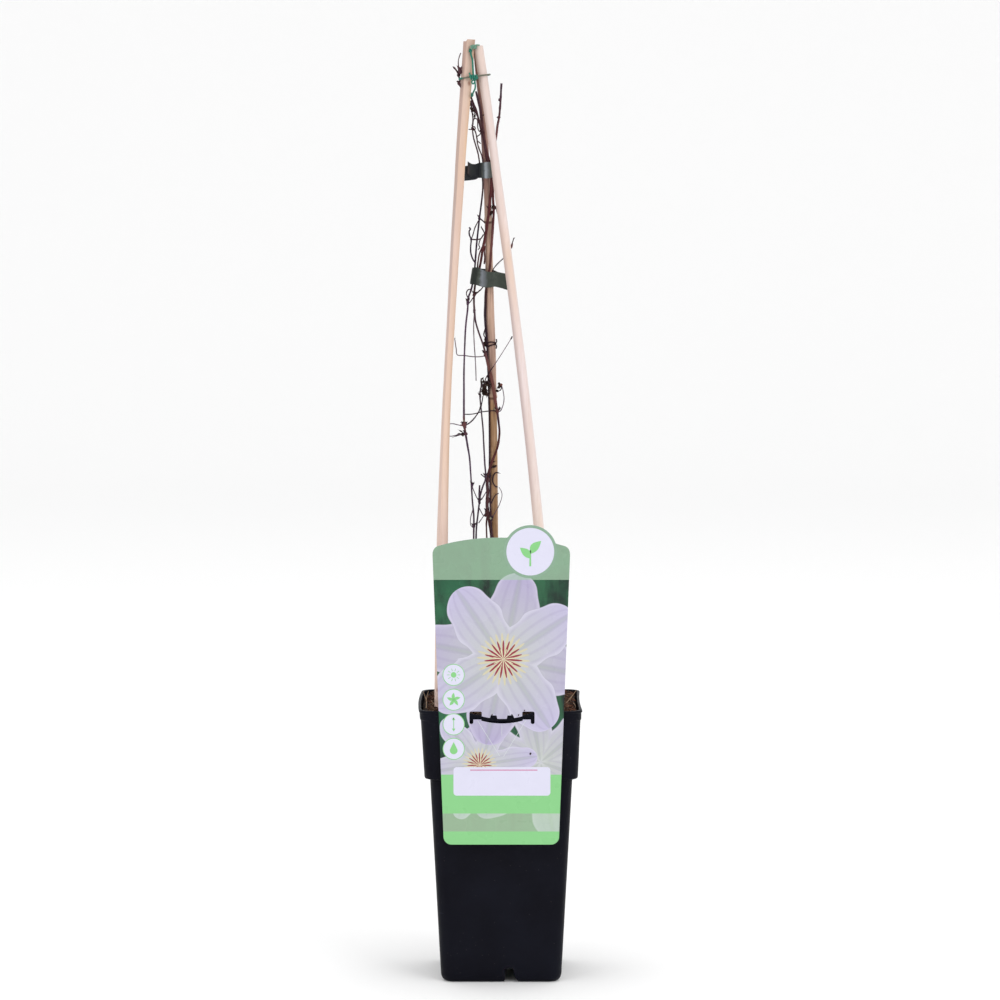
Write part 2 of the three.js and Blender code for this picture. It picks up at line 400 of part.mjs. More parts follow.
const STEM_SIDE = {
  radii: [
    [188, 0.65], [370, 0.65], [470, 0.6], [490, 0.8], [505, 0.9], [530, 0.95], [600, 0.95], [640, 0.85], [691, 0.6],
  ],
  main: [
    [-5.6, STEM_FOOT_Z, 19], [-5.6, 212, 18], [-5.8, 260, 12.6], [-6.4, 300, 9], [-7.2, 333, 7.8], [-7.2, 341, 7.6],
    [-7.2, 348, 6.8], [-7.7, 357, 4.9], [-7.7, 365, 4], [-7.6, 373, 3.6], [-8, 380, 3], [-9, 387, 2.8],
    [-9.3, 393, 2.6], [-9.2, 401, 2.6], [-9.4, 416, 2.6], [-9.6, 431, 2.5], [-10, 441, 2.4], [-10.3, 449, 2.2],
    [-10.5, 457, 2], [-10.6, 467, 1.9], [-10.8, 478, 1.8], [-11.3, 487, 1.6], [-12, 495, 1.4], [-12.6, 505, 1.4],
    [-12.5, 513, 1.6], [-12.2, 520, 2.2], [-11.6, 526, 3.2], [-10.2, 534, 4.2], [-8.3, 541.5, 4.3], [-7.5, 551, 4.2],
    [-6.6, 564, 4], [-5.9, 574, 3.2], [-5.4, 583, 2.4], [-5.7, 592, 2], [-5.6, 600, 2.4], [-5, 606, 3.8],
    [-4.8, 611.5, 6.2], [-6.6, 617, 7.6], [-10, 623.5, 7.3], [-10.8, 632, 7.1], [-12, 639, 7], [-14.1, 645, 6.6],
    [-15.2, 649.6, 6.5], [-16.9, 655.6, 6.4], [-18.7, 661, 6.4], [-20.4, 665, 6.3], [-22.4, 670, 5.6],
    [-25.4, 675, 4.9], [-28.6, 679.5, 4.4], [-31, 683.8, 2.9], [-31.8, 686.8, 4.4], [-32, 688.8, 7.2],
    [-30.9, 690.8, 9.6],
  ],
  shoots: [
    [0.5, [-7.4, 349, 6.5], [-4.1, 351, 4.8], [-1.4, 355.4, 3.6], [0.5, 360, 2.4], [1.4, 364.8, 1.6], [0.6, 368.2, 1.4],
      [-1, 370.6, 2.2], [-3.7, 371.6, 3.9], [-5.6, 373.2, 4], [-6.3, 376, 3.9], [-5.8, 379, 3.9], [-4.4, 381.6, 3.9], [-1.8, 383.2, 3.6]],
    [0.42, [-7.7, 359, 4.6], [-6.2, 362.4, 4.1], [-4.4, 365.8, 3.9], [-1.6, 367.4, 3]],
    [0.42, [-10.5, 458, 2], [-9.4, 456, 3.4], [-8.6, 453, 3.5]],
    [0.5, [-13, 484, 2.2], [-11.4, 483.4, 1.9], [-9.4, 484, 3.5], [-7.2, 484.2, 3.75], [-4.6, 483.8, 2.9], [-3.2, 484, 1.2], [-3.4, 486.4, 0.4]],
    [0.5, [-10.9, 480, 1.8], [-9.4, 481, 3.4], [-6.8, 481.9, 3.75], [-4.5, 482.3, 2.6], [-3.2, 481.2, 1.2], [-3.6, 479, 0.4]],
    [0.42, [-11, 482, 1.8], [-12.8, 480.4, 2.4], [-12.4, 477.8, 2.4], [-11, 476.6, 1.8]],
    [0.5, [-11.2, 486.5, 1.6], [-12.9, 489.4, 2], [-12.4, 492.8, 1.8], [-11.8, 494.4, 1.4]],
    [0.42, [-5.2, 586, 2.3], [-3.6, 587, 2.8], [-3.2, 592, 2.9], [-4, 597.4, 2.6], [-4.6, 600, 2.1]],
    [0.42, [-4.6, 586.8, 2.5], [-3.6, 586.6, 2.8], [-2.8, 583.6, 3], [-1.5, 579, 3.2]],
    [0.55, [-31.6, 686.8, 4.6], [-32.8, 689.4, 7], [-33.8, 691, 8.2], [-35, 692.4, 8.6]],
    [0.42, [-30.9, 690.8, 9.6], [-31.8, 693.5, 9], [-32.1, 697, 8.8], [-31.3, 701, 8.8], [-30.2, 703.8, 8.8]],
    [0.62, [-30.5, 682.6, 3.4], [-32.5, 682, 7.6], [-31.9, 679.6, 10.2], [-30.9, 677.4, 11.8]],
  ],
  beads: [
    [-7.1, 347.6, 7, [1, 0.9, 1.4], 0], [-6.5, 348.6, 7.2, [0.9, 0.8, 0.9], 0], [-8.2, 381, 2.9, [0.9, 0.8, 1.8], 0],
    [-5.2, 587, 2.4, [1.9, 1.2, 2.4], 0], [-11, 482.5, 1.9, [1, 0.9, 2.6], 0], [-30.8, 690.4, 9.7, [1.3, 1, 2.6], -0.2],
    [-31.7, 687.4, 5.6, [1.1, 1, 1.6], 0.3], [-5, 482.8, 3.5, [1.2, 0.6, 0.9], 0.1], [-14.4, 645.6, 6.6, [0.9, 0.8, 1.5], 0.5],
  ],
};

/** The solid rod of a stem or shoot, or the hole that it stands in. */
const stemRod = (make, points, radii) => make(route(points), girth(radii), 6);
const shootRod = (make, points, radius) => make(route(points), taper(radius, radius * SHOOT_TAPER), 4);

/** One stem with everything that grows on it, fused in one body. */
function vine(stem) {
  const bodies = [stemRod(rod, stem.main, stem.radii)];
  for (const [radius, ...points] of stem.shoots) {
    bodies.push(shootRod(rod, points, radius));
  }
  for (const [x, z, forward, size, tipAngle] of stem.beads) {
    bodies.push(bead(route([[x, z, forward]])[0], size, tipAngle));
  }
  return join(bodies);
}

/** The same rod, wider by the clearance all round, to cut its plain hole in the compost. */
function hole(points, radiusAt, sides, stepsPerPoint) {
  const start = points[0];
  const radius = radiusAt(0, start.z) + GAP;
  return join([
    rod(points, (along, z) => radiusAt(along, z) + GAP, sides, stepsPerPoint),
    block([start.x - radius, start.y - radius, start.z - 1.2], [start.x + radius, start.y + radius, start.z + 0.5]),
  ]);
}

// ---------------------------------------------------------------- pot and compost

/** How far the front rim dips at a place across the pot. */
function dipAt(x) {
  const along = THREE.MathUtils.clamp((Math.abs(x) - DIP.flat) / (DIP.end - DIP.flat), 0, 1);
  return DIP.depth * (0.5 + 0.5 * Math.cos(Math.PI * along));
}

/** The pot: a tapering square body, a collar with a stepped lip, a raised floor and a channelled foot. */
function potBody() {
  const outside = walls([
    squareRing(0, BODY_FOOT_HALF - 4.4, 7), squareRing(2, BODY_FOOT_HALF - 1.7, 8.4),
    squareRing(7, BODY_FOOT_HALF, POT_CORNER),
    squareRing(COLLAR_FOOT_Z - 1, BODY_TOP_HALF, POT_CORNER), squareRing(COLLAR_FOOT_Z, COLLAR_FOOT_HALF - 1, POT_CORNER),
    squareRing(COLLAR_FOOT_Z + 1.5, COLLAR_FOOT_HALF, POT_CORNER), squareRing(RIM_Z - 8, RIM_HALF - 1.3, POT_CORNER),
    squareRing(RIM_Z - 7.4, RIM_HALF - 0.7, POT_CORNER), squareRing(RIM_Z - 2.4, RIM_HALF - 0.6, POT_CORNER),
    squareRing(RIM_Z - 1.9, RIM_HALF, POT_CORNER), squareRing(RIM_Z, RIM_HALF - 0.2, POT_CORNER),
  ]);
  const inside = walls([
    squareRing(FLOOR_Z + FLOOR_THICKNESS, BODY_FOOT_HALF - 1.4, POT_CORNER - 1.4),
    squareRing(COLLAR_FOOT_Z - 1, BODY_TOP_HALF - POT_WALL, POT_CORNER - 1.4),
    squareRing(COLLAR_FOOT_Z + 3, COLLAR_FOOT_HALF - POT_WALL, POT_CORNER - 1.4),
    squareRing(RIM_Z + 1, RIM_HALF - 0.4 - POT_WALL, POT_CORNER - 1.4),
  ]);
  const recess = skin([
    squareRing(-1, BODY_FOOT_HALF - 8, 16), squareRing(FLOOR_Z, BODY_FOOT_HALF - 7, 16),
  ]);
  let body = outside.subtract(inside).subtract(recess);
  const channel = new THREE.Shape([
    new THREE.Vector2(NOTCH.offset - NOTCH.top / 2, -1), new THREE.Vector2(NOTCH.offset - NOTCH.top / 2, NOTCH.height),
    new THREE.Vector2(NOTCH.offset + NOTCH.top / 2, NOTCH.height),
    new THREE.Vector2(NOTCH.offset + NOTCH.top / 2 + 2, 3), new THREE.Vector2(NOTCH.foot, -1),
  ].reverse());
  for (let side = 0; side < 4; side++) {
    const cut = new THREE.ExtrudeGeometry(channel, { depth: 30, bevelEnabled: false });
    cut.rotateX(Math.PI / 2);
    cut.translate(0, -22, 0);
    cut.rotateZ(side * Math.PI / 2);
    body = body.subtract(solid(cut));
  }
  for (let corner = 0; corner < 5; corner++) {
    const drain = new THREE.CylinderGeometry(DRAIN.radius, DRAIN.radius, 8, 16);
    drain.rotateX(Math.PI / 2);
    const angle = (corner + 0.5) * Math.PI / 2;
    const reach = corner < 4 ? DRAIN.spread * Math.SQRT2 : 0;
    drain.translate(Math.cos(angle) * reach, Math.sin(angle) * reach, FLOOR_Z);
    body = body.subtract(solid(drain));
  }
  return body.subtract(rimDip());
}

/** The sliver that the front rim loses where it dips. */
function rimDip() {
  const outline = [new THREE.Vector2(DIP.end, RIM_Z + 1), new THREE.Vector2(-DIP.end, RIM_Z + 1)];
  const steps = 18;
  for (let i = 0; i <= steps; i++) {
    const x = DIP.end * (2 * i / steps - 1);
    outline.push(new THREE.Vector2(x, RIM_Z - dipAt(x) - 0.001));
  }
  return upright(new THREE.Shape(outline), -RIM_HALF + 4, 8);
}

/** Height of the compost at a place: gentle lumps, and lower behind the dip in the front rim. */
function soilHeight(x, y) {
  const { smoothstep } = THREE.MathUtils;
  const lumps = Math.sin(x * 0.21 + 1.3) * Math.cos(y * 0.17) + 0.6 * Math.sin(x * 0.53 + y * 0.47);
  const front = SOIL_FRONT_DROP * smoothstep(-y, 34, 54) * (1 - smoothstep(Math.abs(x), 22, 36));
  return SOIL_Z + 0.008 * y + SOIL_RELIEF * lumps - front;
}

/** The root ball: it fills the pot, its top is lumpy, and bark and fibres stand out of it. */
function compostBody() {
  const wall = POT_WALL + GAP;
  const corner = POT_CORNER - 1.6;
  const rings = [
    squareRing(FLOOR_Z + FLOOR_THICKNESS + GAP, BODY_FOOT_HALF - 2, corner),
    squareRing(COLLAR_FOOT_Z - 1, BODY_TOP_HALF - wall - 0.3, corner),
    squareRing(COLLAR_FOOT_Z + 3, COLLAR_FOOT_HALF - wall - 0.5, corner),
  ];
  const rimHalf = RIM_HALF - 1.3 - wall;
  for (let step = 0; step <= 6; step++) {
    const shrink = 1 - step / 6.6;
    const ring = squareRing(0, rimHalf * shrink, Math.max(corner, 26 * (1 - shrink)) * shrink);
    ring.forEach((point) => { point.z = soilHeight(point.x, point.y) - (step === 0 ? 1.6 : 0); });
    rings.push(ring);
  }
  const bodies = [walls(rings), ...barkChips(), ...rootFibres()];
  const [shootRadius, ...shootPoints] = STEM_MAIN.shoots[0];
  const cutters = [
    squaredStake(GAP),
    caneRod(hole, CANE_ROUTES.right, RIGHT_GIRTH),
    caneRod(hole, CANE_ROUTES.back, BAMBOO_GIRTH),
    ...[STEM_LEFT, STEM_INNER, STEM_MAIN, STEM_SIDE].map((stem) => stemRod(hole, stem.main, stem.radii)),
    shootRod(hole, shootPoints, shootRadius),
    block(
      [SLOT.centre - HOOK.halfWidth - GAP, -RIM_HALF, HOOK.footZ - GAP],
      [SLOT.centre + HOOK.halfWidth + GAP, hookInside() + GAP, RIM_Z + 3],
    ),
  ];
  const body = cutters.reduce((whole, cutter) => whole.subtract(cutter), join(bodies));
  return largest(body);
}

/** Bark chips: flat angular flakes set at odd angles in the surface. */
function barkChips() {
  const random = seeded(11);
  const chips = [];
  for (let i = 0; i < 34; i++) {
    const x = random(-53, 53);
    const y = random(-50, 54);
    const chip = new THREE.CylinderGeometry(1, 0.8, 1, 5, 1);
    chip.scale(random(1.6, 4.2), random(0.9, 1.7), random(1.2, 2.4));
    chip.rotateX(Math.PI / 2 + random(-0.5, 0.5));
    chip.rotateY(random(-0.4, 0.4));
    chip.rotateZ(random(0, Math.PI));
    chip.translate(x, y, soilHeight(x, y) - 0.2);
    chips.push(solid(chip));
  }
  return chips;
}

/** Fibres and thin roots that lie on the surface, with both ends sunk in it. */
function rootFibres() {
  const random = seeded(29);
  const fibres = [];
  for (let i = 0; i < 9; i++) {
    const x = random(-46, 46);
    const y = random(-42, 46);
    const heading = random(0, Math.PI * 2);
    const reach = random(6, 12);
    const points = [-1, -0.45, 0.1, 0.6, 1].map((t, k) => {
      const px = THREE.MathUtils.clamp(x + Math.cos(heading) * reach * t + random(-1.5, 1.5), -55, 55);
      const py = THREE.MathUtils.clamp(y + Math.sin(heading) * reach * t + random(-1.5, 1.5), -50, 55);
      const lift = k === 0 || k === 4 ? -1.2 : random(0.4, 1.3);
      return new THREE.Vector3(px, py, soilHeight(px, py) + lift);
    });
    fibres.push(rod(points, taper(0.6, 0.4), 3));
  }
  return fibres;
}

// ---------------------------------------------------------------- ties

/** A ribbon of tape between the line of its foot and the line of its top edge. */
function ribbon({ foot, top }) {
  const [low, high] = [foot, top].map((line) => new THREE.CatmullRomCurve3(placed(line), false, 'centripetal'));
  const steps = (foot.length - 1) * 3;
  const middles = [];
  for (let i = 0; i <= steps; i++) {
    middles.push([low.getPoint(i / steps), high.getPoint(i / steps)]);
  }
  return skin(middles.map(([below, above], i) => {
    const before = middles[Math.max(0, i - 1)][0];
    const after = middles[Math.min(steps, i + 1)][0];
    const outwards = after.clone().sub(before).cross(above.clone().sub(below)).setLength(TAPE_THICKNESS / 2);
    return [
      below.clone().sub(outwards), above.clone().sub(outwards), above.clone().add(outwards), below.clone().add(outwards),
    ];
  }));
}

// The upper tape starts with its rear tail, goes round behind, comes forwards and ends in its front tail.
const UPPER_TAPE = {
  foot: [
    [-27.6, 4.9, 607.4], [-23, 5.7, 607.8], [-19.5, 6.7, 608.3], [-18, 9, 608.9], [-17.6, 12, 609.3],
    [-15.6, 16.1, 609.5], [-10.8, 17.9, 609.8], [-5, 16.4, 610.2], [-2.4, 11.5, 610.4], [-2.9, 7, 610.6],
    [-4.9, 4, 610.5], [-7.9, 2.6, 609.6], [-11.2, 2.7, 609.2], [-14.4, 3.9, 609.5], [-16.5, 5.2, 609.9],
    [-19, 4.4, 609.8], [-22.3, 3.5, 610.3], [-25.1, 2.9, 612.6],
  ],
  top: [
    [-27.2, 4.9, 618.6], [-23, 5.7, 619.2], [-19.5, 6.7, 619.8], [-18, 9, 620.4], [-17.6, 12, 620.8],
    [-15.6, 16.1, 621], [-10.8, 17.9, 621.4], [-5, 16.4, 621.7], [-2.4, 11.5, 621.9], [-2.9, 7, 622],
    [-4.9, 4, 622], [-7.9, 2.6, 621.8], [-11.5, 2.7, 621.5], [-14.4, 3.9, 621.2], [-16.7, 5.2, 620.8],
    [-19.2, 4.4, 620.1], [-22.3, 3.5, 620.4], [-25.1, 2.9, 622.2],
  ],
};
// The lower tape runs from the right in front of the vine, folds round it and goes back behind the cane.
const LOWER_TAPE = {
  foot: [
    [10, 8, 523.6], [4, 8.6, 524.7], [-0.3, 9.1, 526.1], [-4.5, 9.6, 526.9], [-9.1, 9, 526.2], [-14.6, 8.4, 526.9],
    [-19, 9.2, 528.3], [-22.2, 10.2, 528.7], [-23.4, 12.6, 528.9], [-21.6, 17, 528.6], [-14.6, 21.2, 528],
    [-8.8, 23.2, 527.4], [-4.9, 21.4, 526.9], [-3.4, 17, 526.5], [-1.2, 12.2, 526.1], [4, 10.1, 524.9], [10, 9.5, 523.8],
  ],
  top: [
    [10, 8, 535.9], [3.8, 8.6, 536.7], [-0.6, 9.2, 537.6], [-4.5, 9.6, 538.1], [-9.1, 9, 538.3], [-14, 8.4, 539.8],
    [-18, 9.2, 541.6], [-20.4, 10.2, 541.5], [-21.5, 12.6, 541.4], [-20, 17, 541], [-14.2, 21.2, 540.3],
    [-8.8, 23.2, 539.7], [-4.9, 21.4, 539], [-3.4, 17, 538.4], [-1.2, 12.2, 537.8], [4, 10.1, 536.9], [10, 9.5, 536.1],
  ],
};

/** The coated wire: a loop round the three canes, a knot, a riser with a bound end, and a tail. */
function wireTie() {
  const wire = (points, radius = WIRE_RADIUS) => rod(placed(points), () => radius, 5, 2);
  const left = [-31.4, 2.4, 684.2];
  const right = [-8.3, 1, 687.6];
  return join([
    wire([left, [-31, -0.6, 684.3], [-29.6, -3.4, 684.6], [-27.6, -4.5, 684.9], [-24.6, -4.6, 685.3],
      [-20.4, -4.7, 685.8], [-16, -4.6, 686.6], [-12, -4.2, 687.1], [-9.2, -2.3, 687.5], right, [-8.5, 3, 687.5]]),
    wire([right, [-9, 5, 687.4], [-11.6, 10.9, 687], [-15.8, 13.3, 686.4], [-20, 11.6, 685.8], [-26, 7.4, 685],
      [-30.4, 4.4, 684.4], left, [-31.3, 0.4, 684.2]]),
    bead(new THREE.Vector3(-20.3, -5.2, 685.6), [3.9, 1.9, 2.6], -0.1),
    bead(new THREE.Vector3(-19.4, -5.5, 684.4), [2.6, 1.6, 1.9], 0.5),
    wire([[-21.6, -5.2, 686.2], [-23, -5.2, 687.2], [-23.8, -5, 688.8]], 0.6),
    wire([[-20.6, -5, 686], [-21, -4, 692], [-21.3, -3.4, 698.5], [-22.2, -3.1, 703], [-21.8, -2.9, 706.5]]),
    bead(new THREE.Vector3(-21.1, -3.1, 707.8), [2.6, 1.7, 3], 0.2),
    wire([[-21, -3.2, 708.6], [-19.6, -1.9, 709.8], [-17.8, -0.4, 710.1], [-15.6, 2.4, 710], [-13.8, 5.2, 709.2],
      [-12.8, 6.2, 707], [-12.5, 6, 704.6]], 0.65),
    wire([[-20, -5.2, 684], [-19.3, -4.9, 680.6], [-19.4, -4.7, 677], [-20.8, -4.4, 674], [-21.6, -4.3, 671.6]], 0.6),
    wire([[-20.8, -5.2, 683.6], [-21.9, -5, 681.8], [-21, -4.9, 680.4], [-19.8, -5, 681.4]], 0.55),
    bead(new THREE.Vector3(-21.6, -4.3, 672.2), [1.3, 1, 1.8], 0.3),
  ]);
}

// ---------------------------------------------------------------- label

/** The label's outline: straight tapering sides, an arched top, rounded corners. */
function labelOutline() {
  const { centre, footZ, footHalf, shoulderZ, shoulderHalf, crownZ, corner } = LABEL;
  const lean = (shoulderHalf - footHalf) / (shoulderZ - footZ);
  const shape = new THREE.Shape();
  shape.moveTo(centre - footHalf + corner, footZ);
  shape.lineTo(centre + footHalf - corner, footZ);
  shape.quadraticCurveTo(centre + footHalf, footZ, centre + footHalf + lean * corner, footZ + corner);
  shape.lineTo(centre + shoulderHalf, shoulderZ);
  shape.quadraticCurveTo(centre + shoulderHalf, shoulderZ + corner, centre + shoulderHalf - corner, shoulderZ + corner + 1);
  shape.quadraticCurveTo(centre + shoulderHalf / 2, crownZ, centre, crownZ);
  shape.quadraticCurveTo(centre - shoulderHalf / 2, crownZ, centre - shoulderHalf + corner, shoulderZ + corner + 1);
  shape.quadraticCurveTo(centre - shoulderHalf, shoulderZ + corner, centre - shoulderHalf, shoulderZ);
  shape.lineTo(centre - footHalf - lean * corner, footZ + corner);
  shape.quadraticCurveTo(centre - footHalf, footZ, centre - footHalf + corner, footZ);
  return shape;
}

/** The die-cut slot: two end boxes with a leg each, and a sagging band with two half-round bumps. */
function slotCutters() {
  const low = LABEL.back - LABEL.thickness - 1;
  const depth = LABEL.thickness + 2;
  const cutters = [];
  for (const side of [-1, 1]) {
    const box = new THREE.Shape([
      [SLOT.boxInner, SLOT.boxTop], [SLOT.boxOuter, SLOT.boxTop], [SLOT.boxOuter, SLOT.legFoot],
      [SLOT.boxOuter - SLOT.legWidth, SLOT.legFoot], [SLOT.boxOuter - SLOT.legWidth, SLOT.boxFoot],
      [SLOT.boxInner, SLOT.boxFoot],
    ].map(([x, z]) => new THREE.Vector2(SLOT.centre + side * x, z)));
    cutters.push(upright(box, low + depth, depth));
    const bump = new THREE.Shape();
    bump.absarc(SLOT.centre + side * SLOT.bumpX, SLOT.bumpZ, SLOT.bumpRadius, 0, Math.PI * 2);
    cutters.push(upright(bump, low + depth, depth));
  }
  const band = [];
  const steps = 12;
  const edge = (x) => SLOT.bandTop - SLOT.bandSag * (1 - (x / SLOT.boxInner) ** 2);
  for (let i = 0; i <= steps; i++) {
    const x = SLOT.boxInner * 1.02 * (1 - 2 * i / steps);
    band.push(new THREE.Vector2(SLOT.centre + x, edge(x)));
  }
  for (let i = steps; i >= 0; i--) {
    const x = SLOT.boxInner * 1.02 * (1 - 2 * i / steps);
    band.push(new THREE.Vector2(SLOT.centre + x, edge(x) - SLOT.bandHeight));
  }
  cutters.push(upright(new THREE.Shape(band), low + depth, depth));
  return cutters;
}

/** Depth of the hook's inner face, just inside the pot's wall. */
const hookInside = () => -RIM_HALF + 0.4 + POT_WALL + 1.1 + HOOK.thickness;

/** The label: a flat plate with a round badge, the slot, and a hook folded over the dipped rim. */
function labelBody() {
  const badge = new THREE.Shape();
  badge.absarc(BADGE.x, BADGE.z, BADGE.radius, 0, Math.PI * 2);
  const plate = upright(labelOutline(), LABEL.back, LABEL.thickness);
  const disc = new THREE.ExtrudeGeometry(badge, { depth: LABEL.thickness, bevelEnabled: false, curveSegments: 24 });
  disc.rotateX(Math.PI / 2);
  disc.translate(0, LABEL.back, 0);
  const seat = RIM_Z - DIP.depth + GAP;
  const x = [SLOT.centre - HOOK.halfWidth, SLOT.centre + HOOK.halfWidth];
  const over = block([x[0], LABEL.back - LABEL.thickness / 2, seat], [x[1], hookInside(), seat + HOOK.thickness]);
  const down = block([x[0], hookInside() - HOOK.thickness, HOOK.footZ], [x[1], hookInside(), seat + 0.1]);
  const cut = slotCutters().reduce((body, cutter) => body.subtract(cutter), join([plate, solid(disc)]));
  return join([cut, over, down]);
}

// ---------------------------------------------------------------- the object

const finishes = {
  plastic: { color: 0x1c1d24, roughness: 0.45 },
  compost: { color: 0x3a2723, roughness: 0.95 },
  stake: { color: 0xdcbfa4, roughness: 0.7 },
  bamboo: { color: 0xa1825f, roughness: 0.55 },
  vine: { color: 0x553038, roughness: 0.75 },
  tape: { color: 0x47544a, roughness: 0.35 },
  wire: { color: 0x1f7a58, roughness: 0.4 },
  label: { color: 0xcfe6cc, roughness: 0.25 },
};

const pieces = {
  pot: [potBody, finishes.plastic],
  compost: [compostBody, finishes.compost],
  cane_left: [() => sawn(squaredStake(), LEFT_STAKE.sawnTop), finishes.stake],
  cane_right: [() => sawn(caneRod(rod, CANE_ROUTES.right, RIGHT_GIRTH), RIGHT_STAKE.sawnTop), finishes.stake],
  cane_back: [() => bamboo(CANE_ROUTES.back), finishes.bamboo],
  stem_left: [() => vine(STEM_LEFT), finishes.vine],
  stem_inner: [() => vine(STEM_INNER), finishes.vine],
  stem_main: [() => vine(STEM_MAIN), finishes.vine],
  stem_side: [() => vine(STEM_SIDE), finishes.vine],
  tape_lower: [() => ribbon(LOWER_TAPE), finishes.tape],
  tape_upper: [() => ribbon(UPPER_TAPE), finishes.tape],
  wire_tie: [wireTie, finishes.wire],
  label: [labelBody, finishes.label],
};

const group = new THREE.Group();
for (const [name, [make, finish]] of Object.entries(pieces)) {
  const mesh = new THREE.Mesh(geometry(make()), new THREE.MeshStandardMaterial({ metalness: 0, ...finish }));
  mesh.name = name;
  group.add(mesh);
}

export default group;
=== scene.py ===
"""Dresses a dormant climbing plant: pot, compost, three canes, bare stems, ties and a hanging label.

Sizes are in millimetres and every mesh is turned to metres as it is made. The origin is at the foot of
the pot, under its middle, and -Y is the front.
"""

from __future__ import annotations

import contextlib
import functools
import logging
import math
import random
from collections.abc import Callable, Iterable, Iterator, Sequence
from dataclasses import dataclass, field
from enum import Enum

import bmesh
import bpy
from mathutils import Matrix, Vector, noise


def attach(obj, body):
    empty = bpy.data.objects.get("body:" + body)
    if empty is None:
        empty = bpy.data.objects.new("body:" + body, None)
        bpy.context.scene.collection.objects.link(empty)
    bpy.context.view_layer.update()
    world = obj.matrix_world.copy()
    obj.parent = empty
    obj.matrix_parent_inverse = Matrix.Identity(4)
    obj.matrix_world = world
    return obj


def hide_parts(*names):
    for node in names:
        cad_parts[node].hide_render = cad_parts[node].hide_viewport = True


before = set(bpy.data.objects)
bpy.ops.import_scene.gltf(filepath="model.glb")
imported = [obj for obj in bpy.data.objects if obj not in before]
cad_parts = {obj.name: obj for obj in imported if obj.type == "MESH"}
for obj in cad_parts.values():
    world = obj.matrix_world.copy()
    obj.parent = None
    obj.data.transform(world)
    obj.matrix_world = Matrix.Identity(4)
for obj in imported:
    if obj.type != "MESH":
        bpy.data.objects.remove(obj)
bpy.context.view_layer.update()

LOG = logging.getLogger("potted_vine")
MM = 0.001
TAU = math.tau

Object = bpy.types.Object
Material = bpy.types.Material
Tree = bpy.types.NodeTree
Socket = bpy.types.NodeSocket
Sockets = dict[str, Socket]
Point = tuple[float, float, float]
Flat = tuple[float, float]
Rows = tuple[Flat, ...]
Girth = Callable[[float, float], float]
Tones = tuple[tuple[float, str], ...]

SHADER_TREE = "ShaderNodeTree"
LITTER_TREE = "GeometryNodeTree"

RIM_Z = 210.5
RIM_HALF = 60.4
COLLAR_FOOT_Z = 158.0
STEM_FOOT_Z = 188.0
SLOT_CENTRE = 0.95


# ------------------------------------------------------------------ numbers and routes


def clamp(value: float, low: float = 0.0, high: float = 1.0) -> float:
    """Keeps a value between two limits."""
    return max(low, min(high, value))


def smooth(value: float, low: float, high: float) -> float:
    """Rises gently from 0 at low to 1 at high."""
    t = clamp((value - low) / (high - low))
    return t * t * (3 - 2 * t)


def colour(code: str) -> tuple[float, float, float, float]:
    """Turns a colour written as RRGGBB into linear red, green, blue and alpha."""
    parts = [int(code[i:i + 2], 16) / 255 for i in (0, 2, 4)]
    linear = [p / 12.92 if p <= 0.04045 else ((p + 0.055) / 1.055) ** 2.4 for p in parts]
    return (*linear, 1.0)


def back_cane_y(z: float) -> float:
    """Depth of the back cane's axis at a height: it leans forwards and bows a little."""
    return 43.3 - 0.02864 * z - 0.0000303 * z * z


def route(points: Iterable[Point]) -> list[Vector]:
    """Places points given as across, height, and distance in front of the back cane's axis."""
    return [Vector((x, back_cane_y(z) - forward, z)) for x, z, forward in points]


def spline(points: Sequence[Vector], spacing: float, steps: int = 0) -> list[Vector]:
    """Runs a smooth curve through points.

    Args:
        points: the points that the curve passes through.
        spacing: the largest distance between the returned points.
        steps: the same number of points between each two, in place of a spacing.

    Returns:
        Points along the curve, the first and last of the given ones among them.
    """
    ends = [2 * points[0] - points[1], *points, 2 * points[-1] - points[-2]]
    run: list[Vector] = []
    for a, b, c, d in zip(ends, ends[1:], ends[2:], ends[3:]):
        ab, bc, cd = (math.sqrt(max((q - p).length, 1e-6)) for p, q in ((a, b), (b, c), (c, d)))
        leave = ((b - a) / ab - (c - a) / (ab + bc) + (c - b) / bc) * bc
        arrive = ((c - b) / bc - (d - b) / (bc + cd) + (d - c) / cd) * bc
        count = steps or max(2, math.ceil((c - b).length / spacing))
        for i in range(count):
            t = i / count
            run.append(
                b * (2 * t**3 - 3 * t**2 + 1) + leave * (t**3 - 2 * t**2 + t)
                + c * (3 * t**2 - 2 * t**3) + arrive * (t**3 - t**2)
            )
    run.append(points[-1].copy())
    return run


def way_at(path: Sequence[Vector], number: int) -> Vector:
    """The way that a path runs at one of its points, as the step between the points on either side."""
    return path[min(number + 1, len(path) - 1)] - path[max(number - 1, 0)]


def by_height(rows: Rows, z: float) -> float:
    """Reads a value from rows of height and value, evenly between them and level beyond them."""
    if z <= rows[0][0]:
        return rows[0][1]
    for (low_z, low), (high_z, high) in zip(rows, rows[1:]):
        if z <= high_z:
            return low + (high - low) * (z - low_z) / (high_z - low_z)
    return rows[-1][1]


def taper(start: float, end: float) -> Girth:
    """A radius that changes evenly from start to end."""
    return lambda along, z: start + (end - start) * along


def girth(rows: Rows) -> Girth:
    """A radius read from rows of height and radius."""
    return lambda along, z: by_height(rows, z)


# ------------------------------------------------------------------ meshes


